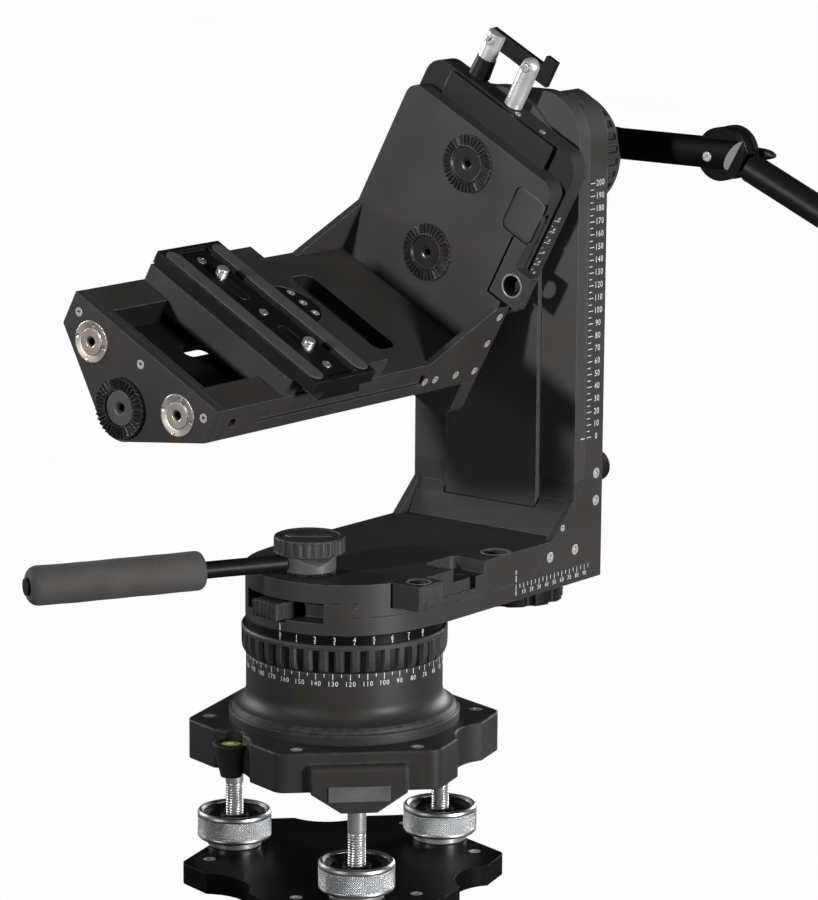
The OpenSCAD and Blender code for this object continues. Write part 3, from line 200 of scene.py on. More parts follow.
def turned(name, profile, places, columns, swell=None, lift=None, closed=False, smooth_angle=SMOOTH):
    """Surface of revolution: the profile's point (r, h) at angle a lies at r cos a, r sin a, h of the place.
    swell(a, r, h) is added to r and lift(a, r, h) to h. An open profile ends in flat lids, and a closed one
    makes a ring."""
    profile = np.asarray(profile, float)
    a = np.arange(columns)[None, :] * TAU / columns
    r = np.broadcast_to(profile[:, :1], (len(profile), columns))
    h = np.broadcast_to(profile[:, 1:], r.shape)
    rr = r + (swell(a, r, h) if swell else 0)
    hh = h + (lift(a, r, h) if lift else 0)
    local = np.stack([rr * np.cos(a), rr * np.sin(a), hh], -1)
    along = np.concatenate([[0], np.cumsum(np.linalg.norm(np.diff(profile, axis=0), axis=1))])
    grids = np.stack([moved(local, p) for p in places])
    return grid_piece(name, grids, TAU * profile[:, 0].max(), along, closed, smooth_angle)


def saw(x):
    """Triangle wave of period 1 between 0 and 1, highest at whole numbers."""
    return np.abs(2 * (x - np.floor(x)) - 1)


def band(x, low, high, soft):
    """1 between low and high, 0 outside, with straight ramps of width soft."""
    return np.clip((x - low) / soft + 0.5, 0, 1) * np.clip((high - x) / soft + 0.5, 0, 1)


# Finishes


class Value:
    """A shader value. Arithmetic on it adds Math nodes to its tree; node() adds any other node."""

    def __init__(self, tree, socket):
        self.tree, self.socket = tree, socket

    def node(self, kind, settings, inputs, output=0):
        """One output of a new node; an input is a Value, which is linked, or a plain setting."""
        n = self.tree.nodes.new(kind)
        for key, v in settings.items():
            setattr(n, key, v)
        for key, v in inputs.items():
            if isinstance(v, Value):
                self.tree.links.new(v.socket, n.inputs[key])
            else:
                n.inputs[key].default_value = v
        return Value(self.tree, n.outputs[output])

    def math(self, operation, a, b=0.0):
        """A Math node on two values."""
        return self.node("ShaderNodeMath", {"operation": operation}, {0: a, 1: b})

    def dot(self, a, b):
        """Dot product of two vectors."""
        return self.node("ShaderNodeVectorMath", {"operation": "DOT_PRODUCT"}, {0: a, 1: b}, "Value")

    def __add__(self, other):
        return self.math("ADD", self, other)

    __radd__ = __add__

    def __sub__(self, other):
        return self.math("SUBTRACT", self, other)

    def __rsub__(self, other):
        return self.math("SUBTRACT", other, self)

    def __mul__(self, other):
        return self.math("MULTIPLY", self, other)

    __rmul__ = __mul__

    def clipped(self, low, high):
        """0 at low, 1 at high, straight between."""
        inputs = {"Value": self, "From Min": low, "From Max": high}
        return self.node("ShaderNodeMapRange", {"clamp": True}, inputs)

    def scaled(self, factors):
        """This vector, stretched along each axis."""
        return self.node("ShaderNodeVectorMath", {"operation": "MULTIPLY"}, {0: self, 1: factors})

    def noise(self, scale, detail, rough=0.5):
        """Soft noise at this vector, with scale waves to the metre."""
        inputs = {"Vector": self, "Scale": scale, "Detail": detail, "Roughness": rough}
        return self.node("ShaderNodeTexNoise", {}, inputs)

    def cells(self, scale):
        """Distance to the middle of the nearest cell of a random foam."""
        return self.node("ShaderNodeTexVoronoi", {"feature": "F1"}, {"Vector": self, "Scale": scale})

    def mix(self, a, b):
        """Colour a where this value is 0 and b where it is 1."""
        return self.node("ShaderNodeMix", {"data_type": "RGBA"}, {0: self, 6: a, 7: b}, 2)


def grey(v, warm=0.0):
    """A colour of one brightness, a little warmer or cooler."""
    return (v * (1 + warm), v, v * (1 - warm), 1.0)


class Finish:
    """A material under way: the place and the UV turn that its patterns use, and its surface shader."""

    def __init__(self, name):
        self.material = bpy.data.materials.new(name)
        self.material.use_nodes = True
        tree = self.material.node_tree
        tree.nodes.clear()
        out = tree.nodes.new("ShaderNodeOutputMaterial")
        self.surface = tree.nodes.new("ShaderNodeBsdfPrincipled")
        tree.links.new(self.surface.outputs[0], out.inputs[0])
        where = tree.nodes.new("ShaderNodeTexCoord")
        self.tree = tree
        self.place = Value(tree, where.outputs["Object"])
        self.turn = Value(tree, where.outputs["UV"])

    def set(self, **sockets):
        """Sets or links inputs of the surface shader; an underline stands for a space in a name."""
        for key, v in sockets.items():
            socket = self.surface.inputs[key.replace("_", " ")]
            if isinstance(v, Value):
                self.tree.links.new(v.socket, socket)
            else:
                socket.default_value = v

    def edges(self, radius):
        """(normal rounded over the edges, how much an edge is rounded from 0 to 1)."""
        round_normal = self.place.node("ShaderNodeBevel", {"samples": 4}, {"Radius": radius})
        flat_normal = self.place.node("ShaderNodeNewGeometry", {}, {}, "Normal")
        turn = self.place.dot(round_normal, flat_normal)
        return round_normal, (1 - turn).clipped(0.0, 0.12)

    def relief(self, height, distance, strength, normal=None):
        """Bumps of a depth in metres on the surface, over a rounded normal where there is one."""
        inputs = {"Height": height, "Distance": distance, "Strength": strength}
        if normal:
            inputs["Normal"] = normal
        self.set(Normal=self.place.node("ShaderNodeBump", {}, inputs))


def anodised(name, tone, warm, shine, gloss=0.25, worn=0.16, soft=0.0009):
    """Bead-blasted, anodised aluminium: fine grain, faint clouds in the dye, and edges that look rounded by
    soft, in metres, and are painted a paler grey, partly rubbed wear and partly a painted highlight along the
    edges."""
    f = Finish(name)
    normal, edge = f.edges(soft)
    cloud = f.place.noise(22.0, 3.0)
    grain = f.place.noise(2600.0, 2.0, 0.6)
    # Paler edges: partly rubbed wear, partly a painted highlight; worn is the grey they go to.
    rub_and_highlight = edge * f.place.noise(160.0, 3.0, 0.65).clipped(0.35, 0.62)
    shade = (cloud * 0.55 + grain * 0.45).clipped(0.3, 0.7)
    dye = shade.mix(grey(tone * 0.82, warm), grey(tone * 1.2, warm))
    f.set(Base_Color=(rub_and_highlight * 0.6).mix(dye, grey(worn, 0.02)), Metallic=0.0, Specular_IOR_Level=gloss)
    f.set(Roughness=shine + 0.16 * (cloud - 0.5) + 0.1 * (grain - 0.5))
    f.relief(grain, 0.00006, 0.35, normal)
    return f.material


def turned_metal(name, tone, warm, rough, on_lathe, metal=1.0):
    """Turned metal: bright, with fine rings left by the tool and a slight stain. Lathe pieces carry the
    rings on their UV map; plain solids get a fine scatter instead."""
    f = Finish(name)
    normal, _ = f.edges(0.0004)
    stain = f.place.noise(90.0, 3.0)
    rings = (60.0, 5200.0, 1.0)
    marks = f.turn.scaled(rings).noise(1.0, 2.0) if on_lathe else f.place.noise(1500.0, 2.0)
    f.set(Base_Color=stain.mix(grey(tone * 0.82, warm), grey(tone * 1.08, warm)), Metallic=metal)
    f.set(Roughness=rough + 0.14 * (marks - 0.5) + 0.12 * (stain - 0.5))
    f.relief(marks, 0.00002, 0.5, normal)
    return f.material


def foam_finish():
    """Closed-cell foam: dull and mottled, with pin-prick cells and a faint sheen."""
    f = Finish("foam_sleeve")
    cells = f.place.cells(1500.0)
    soft = f.place.noise(35.0, 3.0)
    mottle = f.place.noise(700.0, 3.0, 0.7)
    shade = (soft * 0.5 + mottle * 0.5).clipped(0.32, 0.68)
    f.set(Base_Color=shade.mix(grey(0.032, 0.05), grey(0.056, 0.05)), Specular_IOR_Level=0.3)
    f.set(Roughness=0.82 + 0.15 * (mottle - 0.5), Sheen_Weight=0.06, Sheen_Roughness=0.5)
    f.relief(cells * 0.6 + mottle * 0.4, 0.00025, 0.6)
    return f.material


def rubber_finish():
    """Moulded rubber strip: grey, with a fine leathery grain and dust in it."""
    f = Finish("rubber_strip")
    grain = f.place.noise(1900.0, 3.0, 0.65)
    dust = f.place.noise(60.0, 3.0)
    shade = (grain * 0.6 + dust * 0.4).clipped(0.3, 0.7)
    f.set(Base_Color=shade.mix(grey(0.032, 0.03), grey(0.052, 0.03)))
    f.set(Roughness=0.74 + 0.2 * (dust - 0.5), Specular_IOR_Level=0.35)
    f.relief(grain, 0.00012, 0.6)
    return f.material


def scale_paint():
    """White filled engraving, a little worn and greyed."""
    f = Finish("scale_white")
    worn = f.place.noise(900.0, 3.0, 0.7).clipped(0.3, 0.6)
    f.set(Base_Color=worn.mix(grey(0.3, 0.01), grey(0.62, 0.01)), Roughness=0.55 + 0.2 * (worn - 0.5))
    return f.material


def level_liquid():
    """Yellow-green liquid under a clear cap: glossy, a little uneven in colour, and with a faint painted glow
    of its own colour.
    """
    f = Finish("level_liquid")
    swirl = f.place.noise(180.0, 2.0)
    colour = swirl.mix((0.5, 0.6, 0.06, 1.0), (0.66, 0.72, 0.14, 1.0))
    # Emission: a painted glow; the liquid gives off a little light though it is no lamp.
    f.set(Base_Color=colour, Emission_Color=colour, Emission_Strength=0.12)
    f.set(Roughness=0.12 + 0.05 * swirl, Coat_Weight=1.0, Coat_Roughness=0.03)
    return f.material


def bubble_finish():
    """The air bubble in a level, paler than the liquid."""
    f = Finish("level_bubble")
    swirl = f.place.noise(500.0, 2.0)
    f.set(Base_Color=swirl.mix((0.78, 0.83, 0.5, 1.0), (0.9, 0.92, 0.72, 1.0)))
    f.set(Roughness=0.08 + 0.05 * swirl, Coat_Weight=1.0)
    return f.material


def bare_plate_finish():
    """A blank name plate: satin metal brushed along its length."""
    f = Finish("blank_plate")
    normal, _ = f.edges(0.0003)
    lines = f.place.scaled((90.0, 90.0, 5200.0)).noise(1.0, 2.0)
    cloud = f.place.noise(70.0, 2.0)
    shade = (lines * 0.5 + cloud * 0.5).clipped(0.3, 0.7)
    f.set(Base_Color=shade.mix(grey(0.2), grey(0.36)), Metallic=0.9)
    f.set(Roughness=0.34 + 0.2 * (lines - 0.5))
    f.relief(lines, 0.00002, 0.4, normal)
    return f.material


def floor_finish():
    """Pale studio floor with a hardly seen unevenness: white to the camera, dimmer in the light that it
    throws back."""
    f = Finish("studio_floor")
    cloud = f.place.noise(1.2, 2.0)
    f.set(Base_Color=cloud.mix(grey(0.14), grey(0.16)), Specular_IOR_Level=0.1)
    f.set(Roughness=0.8 + 0.1 * (cloud - 0.5))
    glow = cloud.mix(grey(0.97), grey(1.0))
    white = f.place.node("ShaderNodeEmission", {}, {"Color": glow, "Strength": 1.0})
    seen = f.place.node("ShaderNodeLightPath", {}, {}, "Is Camera Ray")
    lit = Value(f.tree, f.surface.outputs[0])
    both = f.place.node("ShaderNodeMixShader", {}, {0: seen, 1: lit, 2: white})
    f.tree.links.new(both.socket, f.tree.nodes["Material Output"].inputs[0])
    return f.material


def dyed(material, name, mask):
    """Copy of a finish that is darker where a mask of the place is 1."""
    copy = material.copy()
    copy.name = name
    tree = copy.node_tree
    surface = next(n for n in tree.nodes if n.type == "BSDF_PRINCIPLED")
    place_node = next(n for n in tree.nodes if n.type == "TEX_COORD")
    here = Value(tree, place_node.outputs["Object"])
    colour = Value(tree, surface.inputs["Base Color"].links[0].from_socket)
    tree.links.new(mask(here).mix(colour, grey(0.005, 0.08)).socket, surface.inputs["Base Color"])
    return copy


# Limits of the darkened places in metres, each as the values where the mask is 0 and where it is 1
POCKET_TOP = (0.1246, 0.1252)  # depth below the tilt axis
POCKET_HALF = (0.0735, 0.073)  # distance from the plate's middle
WINDOW_ENDS = ((-0.1455, -0.145), (-0.0585, -0.059))
SLOT_ENDS = ((0.0555, 0.056), (0.0805, 0.08))
TILT_PLATE_FRONT = (0.1645, 0.1642)


def pockets(here):
    """1 below the top face of the platform's bottom plate, along its window and its long slot, where the black
    is partly the dye of their walls and partly painted shade in these recesses. There is no lower limit, so
    the plate's underside is darkened there as well as the pockets."""
    along = here.node("ShaderNodeSeparateXYZ", {}, {0: here}, 0)
    level = MM * TILT_Z * math.cos(TILT_REST)
    middle = MM * TILT_Z * math.sin(TILT_REST)
    deep = (here.dot(here, PLATFORM_UP) * -1).clipped(*(v - level for v in POCKET_TOP))
    inside = here.math("ABSOLUTE", here.dot(here, PLATFORM_SIDE) - middle).clipped(*POCKET_HALF)
    both = (WINDOW_ENDS, SLOT_ENDS)
    window, slot = (along.clipped(*first) * along.clipped(*last) for first, last in both)
    return deep * inside * here.math("MAXIMUM", window, slot)


def tilt_front(here):
    """1 on the front of the tilt plate and on the key that stands there, 0 on the plate's edges."""
    return here.node("ShaderNodeSeparateXYZ", {}, {0: here}, 0).clipped(*TILT_PLATE_FRONT)


BLACK = anodised("black_anodised", tone=0.0055, warm=0.06, shine=0.42, gloss=0.13, worn=0.08)
GREY = anodised("grey_anodised", tone=0.025, warm=0.05, shine=0.5, gloss=0.22)
# Bottom plate: its window and long slot are black, partly dye and partly painted shade.
POCKETED = dyed(GREY, "grey_with_dyed_and_shaded_pockets", pockets)
KEYED = dyed(GREY, "grey_with_black_front", tilt_front)
COLUMN = anodised("column_grey", tone=0.034, warm=0.05, shine=0.5, gloss=0.22)
CAST = anodised("cast_black", tone=0.018, warm=0.06, shine=0.48, gloss=0.2, worn=0.09, soft=0.003)
DARK = anodised("deep_black", tone=0.0028, warm=0.08, shine=0.42, gloss=0.06, worn=0.03)
GLOSS = anodised("glossy_black", tone=0.007, warm=0.05, shine=0.24, gloss=0.5, worn=0.14)
PANEL = anodised("smooth_panel", tone=0.03, warm=-0.03, shine=0.4, gloss=0.3)
LIGHT = anodised("light_grey", tone=0.06, warm=0.04, shine=0.42, gloss=0.3, worn=0.3)
TOOTHED = anodised("toothed_black", tone=0.011, warm=0.12, shine=0.3, gloss=0.4, worn=0.3, soft=0.0003)
# Pale grey for the rims of holes and the tube's cut end: a painted highlight.
RIM_HIGHLIGHT = anodised("rim_painted_highlight", tone=0.13, warm=0.0, shine=0.3, gloss=0.5, worn=0.3)
STEEL = turned_metal("turned_steel", tone=0.45, warm=0.02, rough=0.32, on_lathe=True, metal=0.75)
KNURLED = turned_metal("knurled_steel", tone=0.41, warm=-0.03, rough=0.38, on_lathe=True)
PLAIN_STEEL = turned_metal("machined_steel", tone=0.55, warm=0.02, rough=0.34, on_lathe=False, metal=0.6)
NICKEL = turned_metal("nickelled_brass", tone=0.54, warm=0.1, rough=0.38, on_lathe=True)
BRASS = turned_metal("machined_brass", tone=0.6, warm=0.16, rough=0.3, on_lathe=False)
FOAM = foam_finish()
RUBBER = rubber_finish()
WHITE = scale_paint()
LIQUID = level_liquid()
BUBBLE = bubble_finish()
BLANK = bare_plate_finish()

SLOT_FINISH = {
    "black_aluminium": BLACK, "grey_aluminium": GREY, "steel": PLAIN_STEEL, "pale_brass": BRASS,
    "level_yellow": LIQUID, "foam": FOAM, "rubber": RUBBER, "plate_grey": BLANK,
}
NODE_FINISH = {
    "camera_plate": BLACK, "column_slide": COLUMN, "tilt_plate": KEYED, "bottom_plate": POCKETED,
    "levelling_flange": CAST, "pan_drum": CAST, "pan_brake_lever": CAST, "base_plate": DARK,
    "handle_tube": DARK, "handle_clamp": DARK, "handle_bar": BLACK,
    "platform_lever": GREY, "arm_lever": GREY,
}
for part in frame["record"]["subparts"]:
    obj = NODES[part["node"]]
    finish = NODE_FINISH.get(part["node"], SLOT_FINISH[part["material_slot"]])
    if not obj.material_slots:
        obj.data.materials.append(finish)
    for s in obj.material_slots:
        s.material = finish


def fit(piece, body, finish, slot, *nodes):
    """Gives a piece its finish and the body that it rides on, and hides the nodes that it stands for; slot is
    not used.
    """
    piece.data.materials.append(finish)
    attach(piece, body)
    if nodes:
        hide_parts(*nodes)


# Levelling base


def stud_place(side):
    """The place of a levelling stud, on a circle round the pan axis."""
    a = math.radians(STUDS[side])
    return upright_at(STUD_CIRCLE * math.cos(a), STUD_CIRCLE * math.sin(a))


def knurl(a, r, h):
    """Diamond knurl: the lower of two triangle waves that run round in opposite screws, inside the rim's
    band."""
    turns, pitch, depth = 96, 1.9, 0.8
    left, right = saw(a / TAU * turns + h / pitch), saw(a / TAU * turns - h / pitch)
    return depth * (np.minimum(left, right) - 0.6) * band(h, 25.2, 39.6, 0.6) * (r > 28)


NUT_RIM = np.concatenate([
    fine([(23.9, 22), (27.2, 22), (28.6, 23.6), (28.6, 24.6)], 1.5),
    np.linspace((28.55, 24.9), (28.55, 39.9), 56),
    fine([(28.6, 40.3), (28.9, 41.0), (28.5, 42.8), (27.2, 44), (25.9, 44), (25.4, 43.6),
          (23.9, 42.4)], 1.2),
])
NUT_DISH = fine([
    (7.15, 22.1), (23.85, 22.1), (23.85, 42.3), (19.6, 39.2), (11, 38.6), (10.2, 40.6),
    (7.6, 40.6), (7.15, 40.1),
], 1.5)
for side in STUDS:
    rim = turned(f"knurled_nut_{side}", NUT_RIM, [stud_place(side)], 480, knurl, closed=True)
    fit(rim, f"nut_{side}", KNURLED, "steel", f"levelling_nut_{side}")
    # The steel nut's dished top takes the black finish: painted shade and painted reflection of the dark
    # flange above.
    shaded_dish = turned(f"nut_shaded_dish_{side}", NUT_DISH, [stud_place(side)], 96, closed=True)
    fit(shaded_dish, f"nut_{side}", BLACK, "steel", f"levelling_nut_{side}")


def stud_thread(a, r, h):
    """Screw thread: a triangle wave along the height that moves on by one pitch in a turn, on the thin part
    below the flange."""
    pitch, depth = 2.0, 0.6
    return -depth * saw(h / pitch - a / TAU) * band(h, 24, 66, 3.0) * (r < 7.5)


STUD = np.concatenate([
    fine([(6.9, 8.1), (6.9, 16.0), (20.4, 16.0), (21, 16.6), (21, 20.9), (20.4, 21.5), (8, 21.5)], 4),
    np.linspace((6.98, 21.6), (6.98, 78), 140),
    fine([(6.98, 79), (6.98, 99.5), (6.9, 114.9)], 6),
])
fit(turned("levelling_stud_set", STUD, [stud_place(s) for s in STUDS], 40, stud_thread),
    "base", STEEL, "steel", "levelling_studs")

VIAL_R = 8.15
dome_r = np.linspace(VIAL_R, 0.3, 12)
bubble_a = np.linspace(0, 1.5, 10)
mark_a = np.linspace(0, TAU, 9)[:-1]
VIAL_RING = fine([(9.4, -4.0), (9.4, -0.3), (9.0, 0.0), (8.5, 0.0), (8.2, -0.4), (8.2, -4.0)], 1.0)
VIAL_DOME = np.stack([dome_r, -0.5 - 0.9 * (dome_r / VIAL_R) ** 2], -1)
VIAL_BODY = np.concatenate([fine([(VIAL_R, -4.0), (VIAL_R, -1.6)], 2.0), VIAL_DOME])
VIAL_MARK = np.stack([4.1 + 0.28 * np.cos(mark_a), -0.78 + 0.16 * np.sin(mark_a)], -1)
BUBBLE_SHAPE = np.stack([3.0 * np.cos(bubble_a), -0.62 + 0.35 * np.sin(bubble_a)], -1)
BUBBLE_OFF = (0.8, 0.5, 0)


def bubble_level(node, box, sink, body):
    """A round level: bezel, domed liquid, bubble and its circle, at a depth below the top of its solid."""
    lo, hi = box
    top = upright_at(PER_M * (lo.x + hi.x) / 2, PER_M * (lo.y + hi.y) / 2, PER_M * hi.z)
    low = top @ np.array(Matrix.Translation((0, 0, -sink)))
    off = low @ np.array(Matrix.Translation(BUBBLE_OFF))
    fit(turned(node + "_bezel", VIAL_RING, [low], 64, closed=True), body, BLACK, "black_aluminium", node)
    fit(turned(node + "_liquid", VIAL_BODY, [low], 48), body, LIQUID, "level_yellow", node)
    fit(turned(node + "_circle", VIAL_MARK, [low], 48, closed=True), body, BLACK, "black_aluminium")
    fit(turned(node + "_bubble", BUBBLE_SHAPE, [off], 32), body, BUBBLE, "level_yellow")


bubble_level("base_level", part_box("base_level"), 0.0, "base")
bubble_level("arm_level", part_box("arm_level"), 3.6, "arm")


# Drag rings

PAN_AXIS = upright_at(0, 0)
TILT_AXIS = place((0, 0, TILT_Z), (1, 0, 0), (0, 0, 1))
BAR_SMOOTH = 24  # degrees, so that the bars keep their edges


def bars(count, low, high, deep, inner):
    """Upright bars round a ring: between them the rim is cut back by deep, from the height low to high,
    though not below the radius inner."""
    flank = 0.12

    def swell(a, r, h):
        bar = np.clip((saw(a / TAU * count) - 0.5) / flank + 0.5, 0, 1)
        return -np.minimum(deep, r - inner) * (1 - bar) * band(h, low, high, 0.5) * (r > inner)

    return swell


PAN_CORE = [(70.8, 182.8), (75.5, 182.8), (75.5, 200.0), (BAND_R, 200.4), (BAND_R, 210.45), (70.8, 210.45)]
PAN_RING = [
    (71, 182.6), (75.2, 182.6), (77.0, 184.2), (77.9, 186.6), (78.4, 190.0), (78.5, 194.0), (78.5, 199.6),
    (78.5, 200.2), (78.5, 202.6), (77.7, 203.9), (75.6, 204.05), (71, 204.05),
]
PAN_BARS = bars(count=40, low=170.0, high=199.9, deep=4.2, inner=75.3)
# The core shows in the gaps between the bars and as the number band under the turntable; its deep black is
# painted shade there.
fit(turned("pan_ring_shaded_core", PAN_CORE, [PAN_AXIS], 240, closed=True),
    "pan_ring", DARK, "black_aluminium", "pan_drag_ring")
fit(turned("ribbed_pan_ring", PAN_RING, [PAN_AXIS], 480, PAN_BARS, closed=True, smooth_angle=BAR_SMOOTH),
    "pan_ring", GREY, "black_aluminium", "pan_drag_ring")
TILT_RING = [
    (39, 264.8), (46.2, 264.8), (47.4, 265.8), (47.4, 268.9), (47.4, 269.5), (47.4, 283.2), (47.4, 283.8),
    (47.4, 286.6), (46.2, 287.6), (39, 287.6),
]
TILT_BARS = bars(count=28, low=269.2, high=283.5, deep=3.0, inner=44)
fit(turned("ribbed_tilt_ring", TILT_RING, [TILT_AXIS], 336, TILT_BARS, closed=True, smooth_angle=BAR_SMOOTH),
    "tilt_ring", GREY, "black_aluminium", "tilt_drag_ring")


# Toothed rosettes and the inserts of the nose


def teeth(count, depth, inner, outer):
    """Radial teeth: a triangle wave round the ring, deeper towards the rim, between two radii."""

    def lift(a, r, h):
        wave = -depth * saw(a / TAU * count)
        return wave * band(r, inner, outer, 0.5) * np.clip(r / outer, 0, 1) * (h > 1)

    return lift


SIDE_ROSETTE = np.concatenate([
    fine([(3.5, 0.02), (22.9, 0.02), (22.9, 1.0), (22.6, 2.9)], 2.0),
    np.linspace((22.3, 3.0), (14.6, 3.0), 12),
    fine([(14.2, 3.0), (13.0, 1.2), (4.6, 1.2), (3.5, 0.7)], 1.5),
])
SIDE_SEATS = [platform_face(SIDE_X, 0, z) for z in (3, -79.5)]
SIDE_TEETH = teeth(count=36, depth=2.1, inner=14.6, outer=22.8)
fit(turned("side_rosette_pair", SIDE_ROSETTE, SIDE_SEATS, 288, lift=SIDE_TEETH, closed=True),
    "platform", TOOTHED, "black_aluminium", "side_rosettes")
NOSE_ROSETTE = np.concatenate([
    fine([(3.5, 0.02), (22.9, 0.02), (22.9, 2.6), (22.6, 5.2)], 2.0),
    np.linspace((22.3, 5.45), (14.2, 4.8), 12),
    fine([(13.8, 4.7), (13.0, 2.4)], 1.5),
    [(12.9, 0.02)],
])
NOSE_SEAT = platform_face(NOSE_X, 0, -175.0)
NOSE_TEETH = teeth(count=36, depth=2.6, inner=14.0, outer=22.8)
fit(turned("nose_rosette_ring", NOSE_ROSETTE, [NOSE_SEAT], 288, lift=NOSE_TEETH, closed=True),
    "platform", TOOTHED, "black_aluminium", "nose_rosette")
NOSE_HUB = fine([
    (12.95, 0.02), (12.95, 2.2), (12.4, 2.6), (5.4, 2.6), (4.4, 2.0), (3.5, 0.9), (3.5, 0.02),
], 1.0)
fit(turned("nose_rosette_hub", NOSE_HUB, [NOSE_SEAT], 96, closed=True),
    "platform", LIGHT, "black_aluminium", "nose_rosette")


def insert_slots(a, r, h):
    """Four key slots across the inner ledge of an insert, each a band of fixed width along the rim."""
    count, half_width, depth = 4, 1.1, 0.6
    off = (a / TAU * count + 0.35) % 1.0 - 0.5
    slot = band(np.abs(off) * TAU / count * r, -1, half_width, 0.2)
    return -depth * slot * band(r, 12.2, 14.6, 0.3) * (h > 0.3)


INSERT = fine([
    (3.5, 0.02), (16, 0.02), (16, 0.7), (15.4, 1.2), (14.8, 1.2), (12.0, 0.85), (10.2, 0.55), (9.8, 1.1),
    (9.2, 1.15), (4.4, 1.15), (3.5, 0.5),
], 0.5)
INSERT_SEATS = [platform_face(NOSE_X, y, -148.5) for y in (47.5, -47.5)]
fit(turned("nose_insert_pair", INSERT, INSERT_SEATS, 200, lift=insert_slots, closed=True),
    "platform", NICKEL, "pale_brass", "nose_inserts")


# Pan bar and the foam of both handles

BAR_PIVOT = upright_at(BAR_X, 0)


def collar_cut(a, r, h):
    """The collar's top is planed to a slope towards the front: it sinks with the radius, most in the
    middle of the slope."""
    depth, middle, half_width = 7.5, math.radians(238), 1.0
    off = np.abs((a - middle + math.pi) % TAU - math.pi)
    slope = np.clip(1 - off / half_width, 0, 1) ** 0.9
    return -depth * slope * np.clip((r - 11.5) / 8.5, 0, 1) * np.clip((h - 254) / 11, 0, 1)


COLLAR = fine([
    (5.3, 252.1), (19.4, 252.1), (20, 252.7), (20, 264.6), (19.5, 265.1), (16.5, 265.1),
    (9, 264.6), (5.3, 264.6),
], 0.9)
fit(turned("pan_bar_collar", COLLAR, [BAR_PIVOT], 144, lift=collar_cut, closed=True),
    "pan_bar", LIGHT, "black_aluminium", "bar_collar")


def serration(a, r, h):
    """Small teeth round the seat under the collar: a triangle wave on the rim."""
    count, depth = 44, 1.7
    return -depth * saw(a / TAU * count) * (r > 18)


lo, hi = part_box("bar_rosette")
seat_r = PER_M * (hi.x - lo.x) / 2
SEAT = fine([(5.3, 249.85), (seat_r, 249.85), (seat_r, 251.5), (seat_r - 0.4, 251.8), (5.3, 251.8)], 1.5)
fit(turned("pan_bar_seat", SEAT, [BAR_PIVOT], 448, swell=serration, closed=True),
    "arm", BLACK, "black_aluminium", "bar_rosette")


def knob_flutes(a, r, h):
    """Round flutes on the rim: a raised cosine round the knob, run out near its two edges."""
    count, depth = 26, 1.5
    return -depth * (0.5 + 0.5 * np.cos(count * a)) ** 1.6 * band(h, 266.6, 276.9, 1.0) * (r > 25)


lo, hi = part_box("bar_knob")
KNOB = np.concatenate([
    fine([(4.7, PER_M * lo.z + 0.02), (4.7, 264.9), (18, 265.4), (25.8, 265.4), (26.9, 266.3)], 2.0),
    np.linspace((26.95, 266.4), (26.95, 277.0), 24),
    fine([(26.4, 277.9), (25.2, 278.4), (23.2, 278.4), (22.4, 277.6), (0.6, 277.6)], 1.5),
])
fit(turned("pan_bar_knob", KNOB, [BAR_PIVOT], 312, swell=knob_flutes),
    "bar_knob", GREY, "black_aluminium", "bar_knob")


def slab(name, half_x, half_y, corner, rows, places):
    """One or more plates with round corners: each row (inset, height) is the outline of four quarter circles
    joined by straight sides, drawn in by the inset."""
    steps = 14
    quarter = np.linspace(0, math.pi / 2, steps, endpoint=False)
    a = (quarter[None, :] + np.arange(4)[:, None] * math.pi / 2).ravel()
    mid_x = np.repeat([1, -1, -1, 1], steps) * (half_x - corner)
    mid_y = np.repeat([1, 1, -1, -1], steps) * (half_y - corner)
    inset, height = np.asarray(rows, float).T[:, :, None]
    r = corner - inset
    plate = np.stack(np.broadcast_arrays(mid_x + r * np.cos(a), mid_y + r * np.sin(a), height), -1)
    grids = np.stack([moved(plate, p) for p in places])
    return grid_piece(name, grids, 4 * (half_x + half_y), np.arange(len(rows)) * 0.5)


LABEL = [(0, 277.5), (0, 277.85), (0.2, 278.05), (0.5, 278.1)]
LABEL_PLACE = place((BAR_X, 0, 0), (0, 0, 1), (0.788, 0.616, 0))
fit(slab("knob_blank_label", 3.6, 18, 3.6, LABEL, [LABEL_PLACE]), "bar_knob", BLANK, "plate_grey")


def hand_worn(a, r, h):
    """Slight unevenness of a foam sleeve: a few slow waves round and along it."""
    waves = 0.14 * np.sin(3 * a + 0.05 * h) + 0.1 * np.sin(5 * a - 0.09 * h) + 0.08 * np.sin(0.21 * h)
    return (r > 9) * waves


def foam_grip(name, start, axis, length, radius, bore, tip, body, node):
    """A foam sleeve round its tube: straight sides, a small quarter of an ellipse at its root and one of the
    length tip at its end, a little thinner than its solid so that the waves stay near it."""
    q = np.linspace(0, math.pi / 2, 12)
    r = radius - 0.25
    low = np.stack([r - 3 + 3 * np.sin(q), 4.5 - 4.5 * np.cos(q)], -1)
    high = np.stack([bore + 1.5 + (r - bore - 1.5) * np.cos(q), length - tip + tip * np.sin(q)], -1)
    sides = np.linspace((r, 5.5), (r, length - tip - 1), 60)
    rows = np.concatenate([[(bore, 0.05)], low, sides, high, [(bore, length - 0.3)]])
    piece = turned(name, rows, [place(start, axis, (0, 0, 1))], 72, hand_worn, closed=True)
    fit(piece, body, FOAM, "foam", node)


bar_axis = np.array([math.cos(BAR_ANGLE), math.sin(BAR_ANGLE), 0.0])
bar_root = np.array([BAR_X, 0.0, 258.6])
foam_grip("pan_bar_foam", bar_root + 86.5 * bar_axis, bar_axis,
          length=135.0, radius=15.0, bore=6.6, tip=8.0, body="pan_bar", node="pan_bar_grip")
bend = math.radians(24)
handle_axis = np.array([0.0, -math.cos(bend), -math.sin(bend)])
knuckle = np.array([301.2, -139.0, TILT_Z + 8])
foam_grip("handle_foam", knuckle + 130 * handle_axis, handle_axis,
          length=120.0, radius=15.5, bore=8.6, tip=6.0, body="handle_bar", node="handle_grip")


# Camera plate

